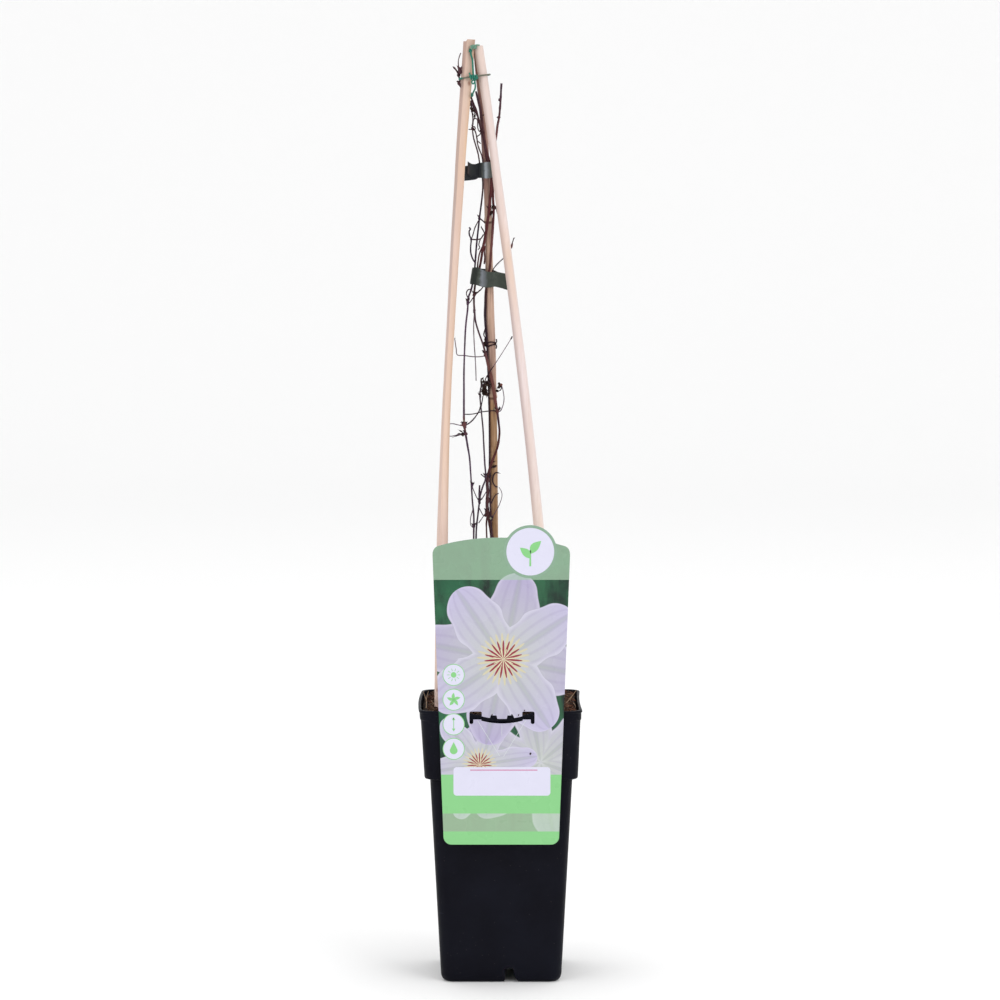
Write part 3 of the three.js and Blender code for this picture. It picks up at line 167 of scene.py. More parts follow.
@dataclass
class Shell:
    """Gathers vertices, faces and a UV map in millimetres, and makes one object of them."""

    vertices: list[Vector] = field(default_factory=list)
    faces: list[tuple[int, ...]] = field(default_factory=list)
    uvs: list[list[Flat]] = field(default_factory=list)
    slots: list[int] = field(default_factory=list)

    def face(self, corners: Sequence[int], uvs: Sequence[Flat] | None = None, slot: int = 0) -> None:
        """Adds one face from vertex numbers."""
        self.faces.append(tuple(corners))
        self.uvs.append(list(uvs) if uvs else [(0.0, 0.0)] * len(corners))
        self.slots.append(slot)

    def rings(self, rings: Sequence[Sequence[Vector]], slot: int = 0, run: Sequence[float] | None = None) -> None:
        """Skins closed rings of equal counts, each counter-clockwise seen from its end, and caps both ends.

        Args:
            rings: the rings, from the start to the end.
            slot: the material slot of the faces.
            run: distance of each ring along the shape, for the UV map.
        """
        count = len(rings[0])
        base = len(self.vertices)
        run = run or [float(i) for i in range(len(rings))]
        for ring in rings:
            self.vertices.extend(ring)
        for r in range(len(rings) - 1):
            for i in range(count):
                j = (i + 1) % count
                low, high = base + r * count, base + (r + 1) * count
                u, w = i / count, (i + 1) / count
                self.face(
                    (low + i, low + j, high + j, high + i),
                    ((u, run[r]), (w, run[r]), (w, run[r + 1]), (u, run[r + 1])), slot,
                )
        last = base + (len(rings) - 1) * count
        for start, ring, turn, end in ((base, rings[0], -1, run[0]), (last, rings[-1], 1, run[-1])):
            centre = len(self.vertices)
            self.vertices.append(sum(ring, Vector()) / count)
            for i in range(count):
                j = (i + 1) % count
                pair = (start + i, start + j)[::turn]
                self.face((*pair, centre), [(0.5, end)] * 3, slot)

    def sweep(
        self, path: Sequence[Vector], radius: Girth, sides: int, slot: int = 0, ribs: int = 0,
        rib_depth: float = 0.0, flat: float = 1.0, twist: float = 0.0, lumps: float = 0.0, seed: float = 0.0,
    ) -> None:
        """Runs a closed tube along a path. Its UV map starts at its right side.

        Args:
            path: closely spaced points.
            radius: the radius from its share along, 0 to 1, and its height.
            sides: points round the tube.
            slot: the material slot of its faces.
            ribs: how many ridges run along it.
            rib_depth: how deep they are, as a share of the radius.
            flat: thickness as a share of the width.
            twist: turns that it makes about itself over its length.
            lumps: how much its radius wanders, as a share of it.
            seed: moves the wandering along.
        """
        distances = [0.0]
        for p, q in zip(path, path[1:]):
            distances.append(distances[-1] + (q - p).length)
        tangents = [way_at(path, i).normalized() for i in range(len(path))]
        side = Vector((1, 0, 0)) if abs(tangents[0].x) < 0.8 else Vector((0, 0, 1))
        rings = []
        for i, (point, tangent) in enumerate(zip(path, tangents)):
            side = (side - tangent * side.dot(tangent)).normalized()
            across = tangent.cross(side)
            along = distances[i] / distances[-1]
            size = radius(along, point.z)
            if lumps:
                size *= 1 + lumps * noise.noise(Vector((distances[i] * 0.35, seed, 1.7)))
            ring = []
            for k in range(sides):
                angle = TAU * k / sides
                reach = size * (1 + rib_depth * math.cos(ribs * angle))
                turned = angle + TAU * twist * along
                x, y = math.cos(angle) * reach, math.sin(angle) * reach * flat
                turn = turned - angle
                ring.append(point + side * (x * math.cos(turn) - y * math.sin(turn))
                            + across * (x * math.sin(turn) + y * math.cos(turn)))
            rings.append(ring)
        self.rings(rings, slot, [d * 0.1 for d in distances])

    def lump(
        self, centre: Vector, size: Point, axis: Vector, slot: int = 0,
        rough: float = 0.15, seed: float = 0.0, pointed: float = 0.0,
    ) -> None:
        """Adds a knobbly egg.

        Args:
            centre: its middle.
            size: half lengths: across, through, and along the axis.
            axis: the way that its length points.
            slot: the material slot.
            rough: how uneven it is, as a share of its size.
            seed: picks another unevenness.
            pointed: how far its far end narrows, from 0 to 1.
        """
        turn = Vector((0, 0, 1)).rotation_difference(axis.normalized()).to_matrix()
        rows, sides = 9, 12
        rings = []
        for r in range(rows):
            polar = math.pi * (r + 0.5) / rows
            z = -math.cos(polar)
            ring = []
            for k in range(sides):
                angle = TAU * k / sides
                around = math.sin(polar) * (1 - pointed * smooth(z, -0.2, 1))
                local = Vector((math.cos(angle) * around, math.sin(angle) * around, z))
                local *= 1 + rough * noise.noise(local * 2.1 + Vector((seed, seed * 0.7, 0)))
                ring.append(centre + turn @ Vector((local.x * size[0], local.y * size[1], local.z * size[2])))
            rings.append(ring)
        self.rings(rings, slot, [r * 0.02 * size[2] for r in range(rows)])

    def prism(self, outline: Sequence[Flat], front: float, back: float, slot: int = 0) -> None:
        """Adds a flat plate standing in X and Z, from a convex or gently curved outline."""
        middle = Vector((sum(x for x, _ in outline) / len(outline), 0, sum(z for _, z in outline) / len(outline)))
        base = len(self.vertices)
        count = len(outline)
        for y in (front, back):
            self.vertices.extend(Vector((x, y, z)) for x, z in outline)
        self.vertices.extend((middle + Vector((0, front, 0)), middle + Vector((0, back, 0))))
        for i in range(count):
            j = (i + 1) % count
            self.face((base + i, base + j, base + 2 * count), slot=slot)
            self.face((base + count + j, base + count + i, base + 2 * count + 1), slot=slot)
            self.face((base + j, base + i, base + count + i, base + count + j), slot=slot)

    def make(self, name: str, materials: Sequence[Material], shade: bool = True) -> Object:
        """Makes the object, with its faces pointing outwards."""
        mesh = bpy.data.meshes.new(name)
        mesh.from_pydata([v * MM for v in self.vertices], [], self.faces)
        layer = mesh.uv_layers.new(name="UVMap")
        for polygon, corners, slot in zip(mesh.polygons, self.uvs, self.slots):
            polygon.material_index = slot
            polygon.use_smooth = shade
            for loop, uv in zip(polygon.loop_indices, corners):
                layer.data[loop].uv = uv
        for material in materials:
            mesh.materials.append(material)
        made = added(name, mesh)
        recalculate(made)
        return made


def added(name: str, data: bpy.types.ID) -> Object:
    """Makes an object of a mesh, a curve, a lamp or a camera, and puts it in the scene."""
    made = bpy.data.objects.new(name, data)
    bpy.context.scene.collection.objects.link(made)
    return made


@contextlib.contextmanager
def opened(mesh: bpy.types.Mesh) -> Iterator[bmesh.types.BMesh]:
    """Opens a mesh for changes, and writes them back at the end."""
    work = bmesh.new()
    work.from_mesh(mesh)
    yield work
    work.to_mesh(mesh)
    work.free()


def recalculate(made: Object) -> None:
    """Turns every face of a mesh object outwards."""
    with opened(made.data) as work:
        bmesh.ops.recalc_face_normals(work, faces=work.faces)


def bake_modifiers(made: Object) -> None:
    """Replaces an object's mesh by what its modifiers make of it, and removes them."""
    graph = bpy.context.evaluated_depsgraph_get()
    mesh = bpy.data.meshes.new_from_object(made.evaluated_get(graph), preserve_all_data_layers=True, depsgraph=graph)
    made.modifiers.clear()
    made.data = mesh


def sharpen(made: Object, degrees: float) -> None:
    """Keeps edges that turn more than an angle sharp, and the rest smooth."""
    with opened(made.data) as work:
        for edge in work.edges:
            edge.smooth = len(edge.link_faces) == 2 and edge.calc_face_angle(0.0) < math.radians(degrees)
        for part in work.faces:
            part.smooth = True


def cut(made: Object, cutters: Sequence[Object]) -> None:
    """Takes the cutters out of an object and deletes them."""
    for cutter in cutters:
        modifier = made.modifiers.new("cut", "BOOLEAN")
        modifier.operation = "DIFFERENCE"
        modifier.solver = "EXACT"
        modifier.object = cutter
    bake_modifiers(made)
    for cutter in cutters:
        bpy.data.objects.remove(cutter)


def settle(made: Object, slot: str, *nodes: str) -> Object:
    """Attaches a finished piece to the root body and hides the nodes that it stands for."""
    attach(made, "root")
    if nodes:
        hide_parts(*nodes)
    LOG.info("%s: %d faces", made.name, len(made.data.polygons))
    return made


# ------------------------------------------------------------------ shader tools


class Graph:
    """Adds nodes to a node tree and links them."""

    def __init__(self, tree: Tree) -> None:
        """Wraps a tree."""
        self.tree = tree

    def add(self, kind: str, feeds: dict[str | int, object] | None = None, **settings: object) -> bpy.types.Node:
        """Adds a node.

        Args:
            kind: the node's type name.
            feeds: values or sockets for its inputs, by name or number.
            **settings: properties of the node.

        Returns:
            The node.
        """
        node = self.tree.nodes.new(kind)
        for key, value in settings.items():
            setattr(node, key, value)
        for key, value in (feeds or {}).items():
            self.feed(node.inputs[key], value)
        return node

    def out(self, kind: str, feeds: dict[str | int, object] | None = None, **settings: object) -> Socket:
        """Adds a node and gives its first output."""
        return self.add(kind, feeds, **settings).outputs[0]

    def feed(self, target: Socket, value: object) -> None:
        """Links a socket to an input, or sets its value."""
        if isinstance(value, Socket):
            self.tree.links.new(value, target)
        else:
            target.default_value = value

    def math(self, operation: str, *values: object) -> Socket:
        """A Math node's result."""
        return self.out("ShaderNodeMath", dict(enumerate(values)), operation=operation)

    def times(self, a: object, b: object) -> Socket:
        """The product of two values."""
        return self.math("MULTIPLY", a, b)

    def linear(self, value: object, scale: object, plus: object) -> Socket:
        """A value times a scale, plus another value."""
        return self.math("MULTIPLY_ADD", value, scale, plus)

    def away(self, value: object, middle: object) -> Socket:
        """How far a value is from another."""
        return self.math("ABSOLUTE", self.math("SUBTRACT", value, middle))

    def part(self, vector: object, number: int) -> Socket:
        """One part of a vector."""
        return self.add("ShaderNodeSeparateXYZ", {0: vector}).outputs[number]

    def vector(self, operation: str, a: object, b: object) -> Socket:
        """A Vector Math node's result."""
        return self.out("ShaderNodeVectorMath", {0: a, 1: b}, operation=operation)

    def stretched(self, vector: object, stretch: object) -> Socket:
        """A vector multiplied part by part."""
        return self.vector("MULTIPLY", vector, stretch)

    def in_mm(self, place: Socket) -> Socket:
        """A place in millimetres."""
        return self.stretched(place, (1000, 1000, 1000))

    def uv(self) -> Socket:
        """The piece's own UV map."""
        return self.add("ShaderNodeTexCoord").outputs["UV"]

    def mix(self, factor: object, a: object, b: object) -> Socket:
        """A colour between a and b."""
        return self.add("ShaderNodeMix", {0: factor, 6: a, 7: b}, data_type="RGBA").outputs[2]

    def tint(self, under: object, code: str, mask: object, share: float = 1.0) -> Socket:
        """Lays a colour, written as RRGGBB, over another by a share of a mask."""
        return self.mix(mask if share == 1 else self.times(mask, share), under, colour(code))

    def ramp(self, value: object, low: object, high: object, start: object = 0.0, end: object = 1.0) -> Socket:
        """Maps low..high to start..end, clamped."""
        return self.out("ShaderNodeMapRange", dict(enumerate((value, low, high, start, end))), clamp=True)

    def tones(self, value: Socket, rows: Tones) -> Socket:
        """A colour read from rows of value and colour, evenly between them."""
        low, high = rows[0][0], rows[-1][0]
        node = self.add("ShaderNodeValToRGB", {0: self.ramp(value, low, high)})
        stops = node.color_ramp.elements
        while len(stops) < len(rows):
            stops.new(0.5)
        for stop, (place, _) in zip(stops, rows):
            stop.position = (place - low) / (high - low)
        for stop, (_, code) in zip(stops, rows):
            stop.color = colour(code)
        return node.outputs[0]

    def noise(self, vector: object, scale: object, detail: float = 3.0) -> Socket:
        """A noise between 0 and 1."""
        return self.add("ShaderNodeTexNoise", {"Vector": vector, "Scale": scale, "Detail": detail}).outputs["Fac"]

    def effect(self, group: Tree, **feeds: object) -> Sockets:
        """Places a node group and gives its outputs."""
        return dict(self.add("ShaderNodeGroup", feeds, node_tree=group).outputs.items())

    def patches(self, vector: object, scale: float, low: float, high: float) -> Socket:
        """Places soft patches and gives their mask."""
        return self.effect(mottle(), Vector=vector, Scale=scale, Low=low, High=high)["Mask"]

    def streaks(self, vector: object, stretch: Point, scale: float, low: float = 0.35, high: float = 0.65) -> Sockets:
        """Places streaks and gives their mask and height."""
        return self.effect(grain(), Vector=vector, Stretch=stretch, Scale=scale, Low=low, High=high)

    def spots(self, vector: object, scale: float, reach: float, share: float) -> Socket:
        """Places scattered spots and gives their mask."""
        return self.effect(specks(), Vector=vector, Scale=scale, Reach=reach, Share=share)["Mask"]


def new_group(
    kind: str, name: str, inputs: dict[str, object], outputs: dict[str, str],
) -> tuple[Graph, Sockets, Sockets]:
    """Starts a node group.

    Args:
        kind: the tree's type name.
        name: the group's name.
        inputs: each input's default, or the kind of a socket without one.
        outputs: each output's socket kind.

    Returns:
        Its graph, its inputs' sockets and its outputs' sockets, by name.
    """
    kinds = {float: "Float", int: "Int", tuple: "Vector"}
    tree = bpy.data.node_groups.new(name, kind)
    for label, default in inputs.items():
        plain = isinstance(default, str)
        socket_kind = default if plain else kinds[type(default)]
        socket = tree.interface.new_socket(label, in_out="INPUT", socket_type=f"NodeSocket{socket_kind}")
        if not plain:
            socket.default_value = default
    for label, socket_kind in outputs.items():
        tree.interface.new_socket(label, in_out="OUTPUT", socket_type=f"NodeSocket{socket_kind}")
    start, end = tree.nodes.new("NodeGroupInput"), tree.nodes.new("NodeGroupOutput")
    return Graph(tree), dict(start.outputs.items()), dict(end.inputs.items())


@functools.cache
def mottle() -> Tree:
    """Soft patches: a noise sharpened between two levels."""
    inputs = {"Vector": "Vector", "Scale": 50.0, "Low": 0.4, "High": 0.6}
    graph, given, out = new_group(SHADER_TREE, "mottle", inputs, {"Mask": "Float"})
    patches = graph.noise(given["Vector"], given["Scale"], 4)
    graph.feed(out["Mask"], graph.ramp(patches, given["Low"], given["High"]))
    return graph.tree


@functools.cache
def grain() -> Tree:
    """Streaks along one way: a stretched noise over a finer one."""
    inputs = {"Vector": "Vector", "Stretch": (1.0, 1.0, 0.03), "Scale": 900.0, "Low": 0.35, "High": 0.65}
    graph, given, out = new_group(SHADER_TREE, "grain", inputs, {"Mask": "Float", "Height": "Float"})
    along = graph.stretched(given["Vector"], given["Stretch"])
    coarse = graph.noise(along, given["Scale"])
    fine = graph.noise(along, graph.times(given["Scale"], 3.7), 2)
    graph.feed(out["Mask"], graph.ramp(coarse, given["Low"], given["High"]))
    graph.feed(out["Height"], graph.linear(fine, 0.5, coarse))
    return graph.tree


@functools.cache
def ridges() -> Tree:
    """Ridges that run along a swept piece, from its UV map, wandering a little."""
    inputs = {"UV": "Vector", "Count": 12.0, "Wander": 0.15, "Length": 1.0}
    graph, given, out = new_group(SHADER_TREE, "ridges", inputs, {"Mask": "Float", "Along": "Vector"})
    turn = graph.part(given["UV"], 0)
    angle = graph.times(turn, TAU)
    run = graph.times(graph.part(given["UV"], 1), given["Length"])
    around = graph.out("ShaderNodeCombineXYZ", {0: graph.math("COSINE", angle), 1: graph.math("SINE", angle), 2: run})
    shift = graph.times(graph.noise(around, 1.2, 2), given["Wander"])
    turns = graph.times(graph.math("ADD", turn, shift), given["Count"])
    graph.feed(out["Mask"], graph.linear(graph.math("COSINE", graph.times(turns, TAU)), 0.5, 0.5))
    graph.feed(out["Along"], around)
    return graph.tree


@functools.cache
def specks() -> Tree:
    """Scattered small spots, some cells left empty."""
    inputs = {"Vector": "Vector", "Scale": 200.0, "Reach": 0.2, "Share": 0.4}
    graph, given, out = new_group(SHADER_TREE, "specks", inputs, {"Mask": "Float"})
    cells = graph.add("ShaderNodeTexVoronoi", {"Vector": given["Vector"], "Scale": given["Scale"]}).outputs
    near = graph.ramp(cells["Distance"], given["Reach"], graph.times(given["Reach"], 0.5))
    picked = graph.math("LESS_THAN", graph.out("ShaderNodeSeparateColor", {0: cells["Color"]}), given["Share"])
    graph.feed(out["Mask"], graph.times(near, picked))
    return graph.tree


def new_material(name: str, gloss: float) -> tuple[Graph, bpy.types.Node, Socket]:
    """Starts a material.

    Args:
        name: its name.
        gloss: how much light its surface mirrors; 0.5 is that of clear varnish.

    Returns:
        Its graph, its Principled shader and the Object coordinates' socket.
    """
    material = bpy.data.materials.new(name)
    material.use_nodes = True
    graph = Graph(material.node_tree)
    shader = material.node_tree.nodes["Principled BSDF"]
    shader.inputs["Specular IOR Level"].default_value = gloss
    return graph, shader, graph.add("ShaderNodeTexCoord").outputs["Object"]


def finished(
    graph: Graph, shader: bpy.types.Node, base: object, rough: object,
    height: Socket | None = None, relief: float = 0.0,
) -> Material:
    """Feeds a shader and gives its material.

    Args:
        graph: the material's graph.
        shader: its Principled shader.
        base: the base colour.
        rough: the roughness.
        height: the height of the surface's relief, where it has one.
        relief: how high the relief is, in metres.

    Returns:
        The material.
    """
    graph.feed(shader.inputs["Base Color"], base)
    graph.feed(shader.inputs["Roughness"], rough)
    if height is not None:
        bumped = graph.out("ShaderNodeBump", {"Height": height, "Distance": relief, "Strength": 1})
        graph.feed(shader.inputs["Normal"], bumped)
    return next(m for m in bpy.data.materials if m.node_tree == graph.tree)


# ------------------------------------------------------------------ finishes


@dataclass(frozen=True)
class MouldedPlastic:
    """Satin plastic with soft clouding, dust specks, level scuffs and a faint moulded texture."""

    name: str
    base: str
    cloud: str
    roughness: float = 0.42
    dust: float = 0.35
    relief: float = 0.00002
    gloss: float = 0.3

    def material(self) -> Material:
        """Builds the material."""
        graph, shader, place = new_material(self.name, self.gloss)
        clouds = graph.patches(place, 28, 0.35, 0.7)
        streaks = graph.streaks(place, (1, 1, 0.12), 160)["Mask"]
        scuffs = graph.spots(graph.stretched(place, (0.12, 0.12, 1)), 170, 0.12, 0.08)
        body = graph.mix(clouds, colour(self.base), colour(self.cloud))
        body = graph.tint(body, "8a7f78", graph.spots(place, 420, 0.16, 0.1), self.dust)
        body = graph.tint(body, "6f7488", scuffs, self.dust)
        rough = graph.linear(streaks, 0.05, graph.linear(clouds, 0.08, self.roughness))
        return finished(graph, shader, body, rough, graph.noise(place, 1400, 2), self.relief)


@dataclass(frozen=True)
class TurnedWood:
    """A bare wooden stake: straight grain, pith flecks, small knots, and tones by height for its front; its left and
    right sides are mixed towards tones by height of their own, which are painted shade.

    The facet gives where the left side is: its place round the stake in turns, its half width and its softness.
    The edge gives how far round from the stake's left the right side begins and is full, in turns.
    """

    name: str
    tones: Tones
    left: Tones
    right: Tones
    streak: str
    facet: Point
    edge: tuple[float, float]
    knots: tuple[Point, ...] = ()

    def material(self) -> Material:
        """Builds the material."""
        graph, shader, place = new_material(self.name, 0.25)
        height = graph.part(graph.in_mm(place), 2)
        fibres = graph.streaks(place, (1, 1, 0.02), 820, 0.32, 0.68)
        bands = graph.streaks(place, (1, 1, 0.012), 210, 0.42, 0.62)["Mask"]
        flecks = graph.streaks(place, (1, 1, 0.08), 1900, 0.68, 0.78)["Mask"]
        wood = graph.tint(graph.tones(height, self.tones), self.streak, bands, 0.3)
        wood = graph.tint(wood, self.streak, fibres["Mask"], 0.22)
        wood = graph.tint(wood, "a3765a", flecks, 0.35)
        # Painted shade: the left side, turned from the light, is mixed towards the darker left tones.
        around = graph.part(graph.uv(), 0)
        at, half, soft = self.facet
        side = graph.ramp(graph.away(around, at), half + soft, half - soft, 0, 0.85)
        wood = graph.mix(side, wood, graph.tones(height, self.left))
        # Painted shade: the right side is mixed towards the right tones.
        side = graph.ramp(graph.away(around, 0.5), *self.edge, 0, 0.85)
        wood = graph.mix(side, wood, graph.tones(height, self.right))
        for knot in self.knots:
            offset = graph.stretched(graph.vector("SUBTRACT", place, [c * MM for c in knot]), (1, 1, 0.6))
            near = graph.add("ShaderNodeVectorMath", {0: offset}, operation="LENGTH").outputs["Value"]
            wood = graph.tint(wood, "8c5340", graph.ramp(near, 0.0016, 0.0007, 0, 0.85))
        soil = graph.times(graph.ramp(height, 224, 208, 0, 0.5), graph.patches(place, 420, 0.4, 0.6))
        wood = graph.tint(wood, "5b4436", soil)
        return finished(graph, shader, wood, graph.linear(fibres["Mask"], 0.15, 0.55), fibres["Height"], 0.00012)


@dataclass(frozen=True)
class Bamboo:
    """A weathered bamboo cane: its tone changes by height, darker high up partly from its own stain and partly as
    painted shade from the stakes in front; its left side carries painted shade; its nodes are scarred.
    """

    name: str
    front: Tones
    left: Tones
    node_heights: tuple[float, ...]

    def material(self) -> Material:
        """Builds the material."""
        graph, shader, place = new_material(self.name, 0.2)
        height = graph.part(graph.in_mm(place), 2)
        streaks = graph.streaks(place, (1, 1, 0.02), 620, 0.4, 0.62)
        patches = graph.patches(graph.stretched(place, (1, 1, 0.2)), 300, 0.48, 0.72)
        # Painted shade: the left side is mixed towards the darker left tones.
        edge = graph.linear(streaks["Height"], 0.06, graph.away(graph.part(graph.uv(), 0), 0.5))
        side = graph.ramp(edge, 0.24, 0.15)
        cane = graph.mix(side, graph.tones(height, self.front), graph.tones(height, self.left))
        cane = graph.tint(cane, "5a3a2a", streaks["Mask"], 0.4)
        cane = graph.tint(cane, "c9ac94", patches, 0.3)
        for node in self.node_heights:
            cane = graph.tint(cane, "4a2f22", graph.ramp(graph.away(height, node - 1.4), 1.3, 0.4, 0, 0.75))
            lit = graph.times(graph.ramp(height, node, node + 9, 0.4, 0), graph.math("GREATER_THAN", height, node))
            cane = graph.tint(cane, "d9c0a8", lit)
        return finished(graph, shader, cane, graph.linear(patches, 0.15, 0.5), streaks["Height"], 0.0001)


@dataclass(frozen=True)
class Bark:
    """Stem bark: smooth and finely ridged, with painted shade in the grooves between its ridges, its tone changing by
    height, with paler peeling stretches.
    """

    name: str
    tones: Tones
    pale: str
    pale_share: float = 0.3
    ridge_count: float = 8.0

    def material(self) -> Material:
        """Builds the material."""
        graph, shader, place = new_material(self.name, 0.12)
        ribs = graph.effect(ridges(), UV=graph.uv(), Count=self.ridge_count, Wander=0.12, Length=1)
        fine = graph.noise(place, 2600)
        bark = graph.tones(graph.part(graph.in_mm(place), 2), self.tones)
        bark = graph.tint(bark, "2a181a", graph.patches(place, 60, 0.42, 0.6), 0.35)
        bark = graph.tint(bark, self.pale, graph.patches(ribs["Along"], 1.6, 0.6, 0.72), self.pale_share)
        # Painted shade: darker in the grooves between the ridges.
        bark = graph.tint(bark, "160d10", graph.ramp(ribs["Mask"], 0, 0.6, 0.45, 0))
        bark = graph.tint(bark, self.pale, graph.ramp(fine, 0.55, 0.8, 0, 0.2))
        height = graph.linear(fine, 0.4, ribs["Mask"])
        return finished(graph, shader, bark, graph.linear(fine, 0.2, 0.6), height, 0.00006)


@dataclass(frozen=True)
class Dried:
    """Dead leaf, bud scales and withered stalks: dull, veined and mottled."""

    name: str
    dark: str
    light: str

    def material(self) -> Material:
        """Builds the material."""
        graph, shader, place = new_material(self.name, 0.08)
        veins = graph.noise(place, 3100, 4)
        tone = graph.mix(graph.patches(place, 700, 0.38, 0.66), colour(self.dark), colour(self.light))
        tone = graph.tint(tone, "150d0d", graph.ramp(veins, 0.45, 0.7, 0, 0.5))
        return finished(graph, shader, tone, 0.85, veins, 0.00012)


@dataclass(frozen=True)
class Peat:
    """Compost: near-black peat with brown crumbs. Chips and fibres take a tint of their own."""

    name: str
    dark: str
    middle: str
    light: str
    tinted: bool = False

    def material(self) -> Material:
        """Builds the material."""
        graph, shader, place = new_material(self.name, 0.12)
        crumbs = graph.patches(place, 620, 0.4, 0.62)
        strands = graph.streaks(place, (1, 0.25, 1), 1300, 0.5, 0.7)
        tone = graph.mix(crumbs, colour(self.dark), colour(self.middle))
        if self.tinted:
            own = graph.add("ShaderNodeAttribute", attribute_name="tint").outputs["Fac"]
            tone = graph.tint(tone, self.light, graph.ramp(own, 0.2, 1, 0, 0.85))
        else:
            tone = graph.tint(tone, self.light, strands["Mask"], 0.35)
        return finished(graph, shader, tone, graph.linear(crumbs, 0.1, 0.82), strands["Height"], 0.0004)


@dataclass(frozen=True)
class TyingTape:
    """Stretchy plastic tape: satin and finely ribbed across, with painted highlights and painted shade laid along it by
    its tones.
    """

    name: str
    tones: Tones

    def material(self) -> Material:
        """Builds the material."""
        graph, shader, place = new_material(self.name, 0.16)
        clouds = graph.patches(place, 210, 0.4, 0.66)
        along = graph.streaks(graph.uv(), (40, 1.5, 1), 3, 0.4, 0.6)
        # The tones along the tape are painted light: highlights where it curves towards the lamps and shade where it
        # turns away.
        tone = graph.tones(graph.linear(clouds, 0.25, graph.part(graph.uv(), 1)), self.tones)
        tone = graph.tint(tone, "2c3330", clouds, 0.25)
        tone = graph.tint(tone, "20261f", along["Mask"], 0.15)
        return finished(graph, shader, tone, graph.linear(clouds, 0.15, 0.4), along["Height"], 0.00006)


@dataclass(frozen=True)
class PlainPrint:
    """One printed colour with the least unevenness of ink, under a smooth film."""

    name: str
    base: str
    shade: float = 0.06

    def material(self) -> Material:
        """Builds the material."""
        graph, shader, place = new_material(self.name, 0.3)
        ink = graph.noise(place, 90)
        dimmed = graph.mix(self.shade, colour(self.base), colour("404048"))
        face = graph.mix(ink, colour(self.base), dimmed)
        return finished(graph, shader, face, graph.ramp(ink, 0.3, 0.7, 0.26, 0.34))


@functools.cache
def petal_ring() -> Tree:
    """A ring of pointed petals drawn flat in X and Z."""
    inputs = {"Vector": "Vector", "X": 0.0, "Z": 0.0, "Radius": 30.0, "Petals": 6.0, "Turn": 0.0, "Breadth": 0.4}
    outputs = {"Mask": "Float", "Out": "Float", "Side": "Float", "Edge": "Float"}
    graph, given, out = new_group(SHADER_TREE, "petal ring", inputs, outputs)
    step = graph.math
    x = step("SUBTRACT", graph.part(given["Vector"], 0), given["X"])
    z = step("SUBTRACT", graph.part(given["Vector"], 2), given["Z"])
    angle = step("ADD", step("ARCTAN2", z, x), given["Turn"])
    away = step("SQRT", step("ADD", graph.times(x, x), graph.times(z, z)))
    far = step("DIVIDE", away, given["Radius"])
    share = step("DIVIDE", TAU, given["Petals"])
    within = step("PINGPONG", angle, graph.times(share, 0.5))
    turns = step("FLOOR", step("DIVIDE", angle, share))
    lateral = graph.times(far, step("SINE", within))
    inner = step("POWER", step("MAXIMUM", far, 0.001), 0.62)
    outer = step("POWER", step("MAXIMUM", step("SUBTRACT", 1, far), 0), 0.42)
    half = graph.times(graph.times(inner, outer), given["Breadth"])
    wave = graph.times(step("SINE", graph.linear(far, 21, turns)), 0.05)
    margin = step("SUBTRACT", graph.linear(half, wave, half), lateral)
    graph.feed(out["Mask"], graph.ramp(margin, 0, 0.012))
    graph.feed(out["Out"], far)
    graph.feed(out["Side"], step("DIVIDE", lateral, step("MAXIMUM", half, 0.01)))
    graph.feed(out["Edge"], graph.ramp(margin, 0, 0.07, 1, 0))
    return graph.tree


@dataclass(frozen=True)
class Blossom:
    """One printed flower: where its middle is, its size, its petals and how it is turned."""

    x: float
    z: float
    radius: float
    petals: int
    turn: float
    breadth: float = 0.4

    def ring(self, graph: Graph, across: Socket) -> Sockets:
        """Places the ring of its petals."""
        return graph.effect(
            petal_ring(), Vector=across, X=self.x, Z=self.z, Radius=self.radius, Petals=self.petals, Turn=self.turn,
            Breadth=self.breadth,
        )


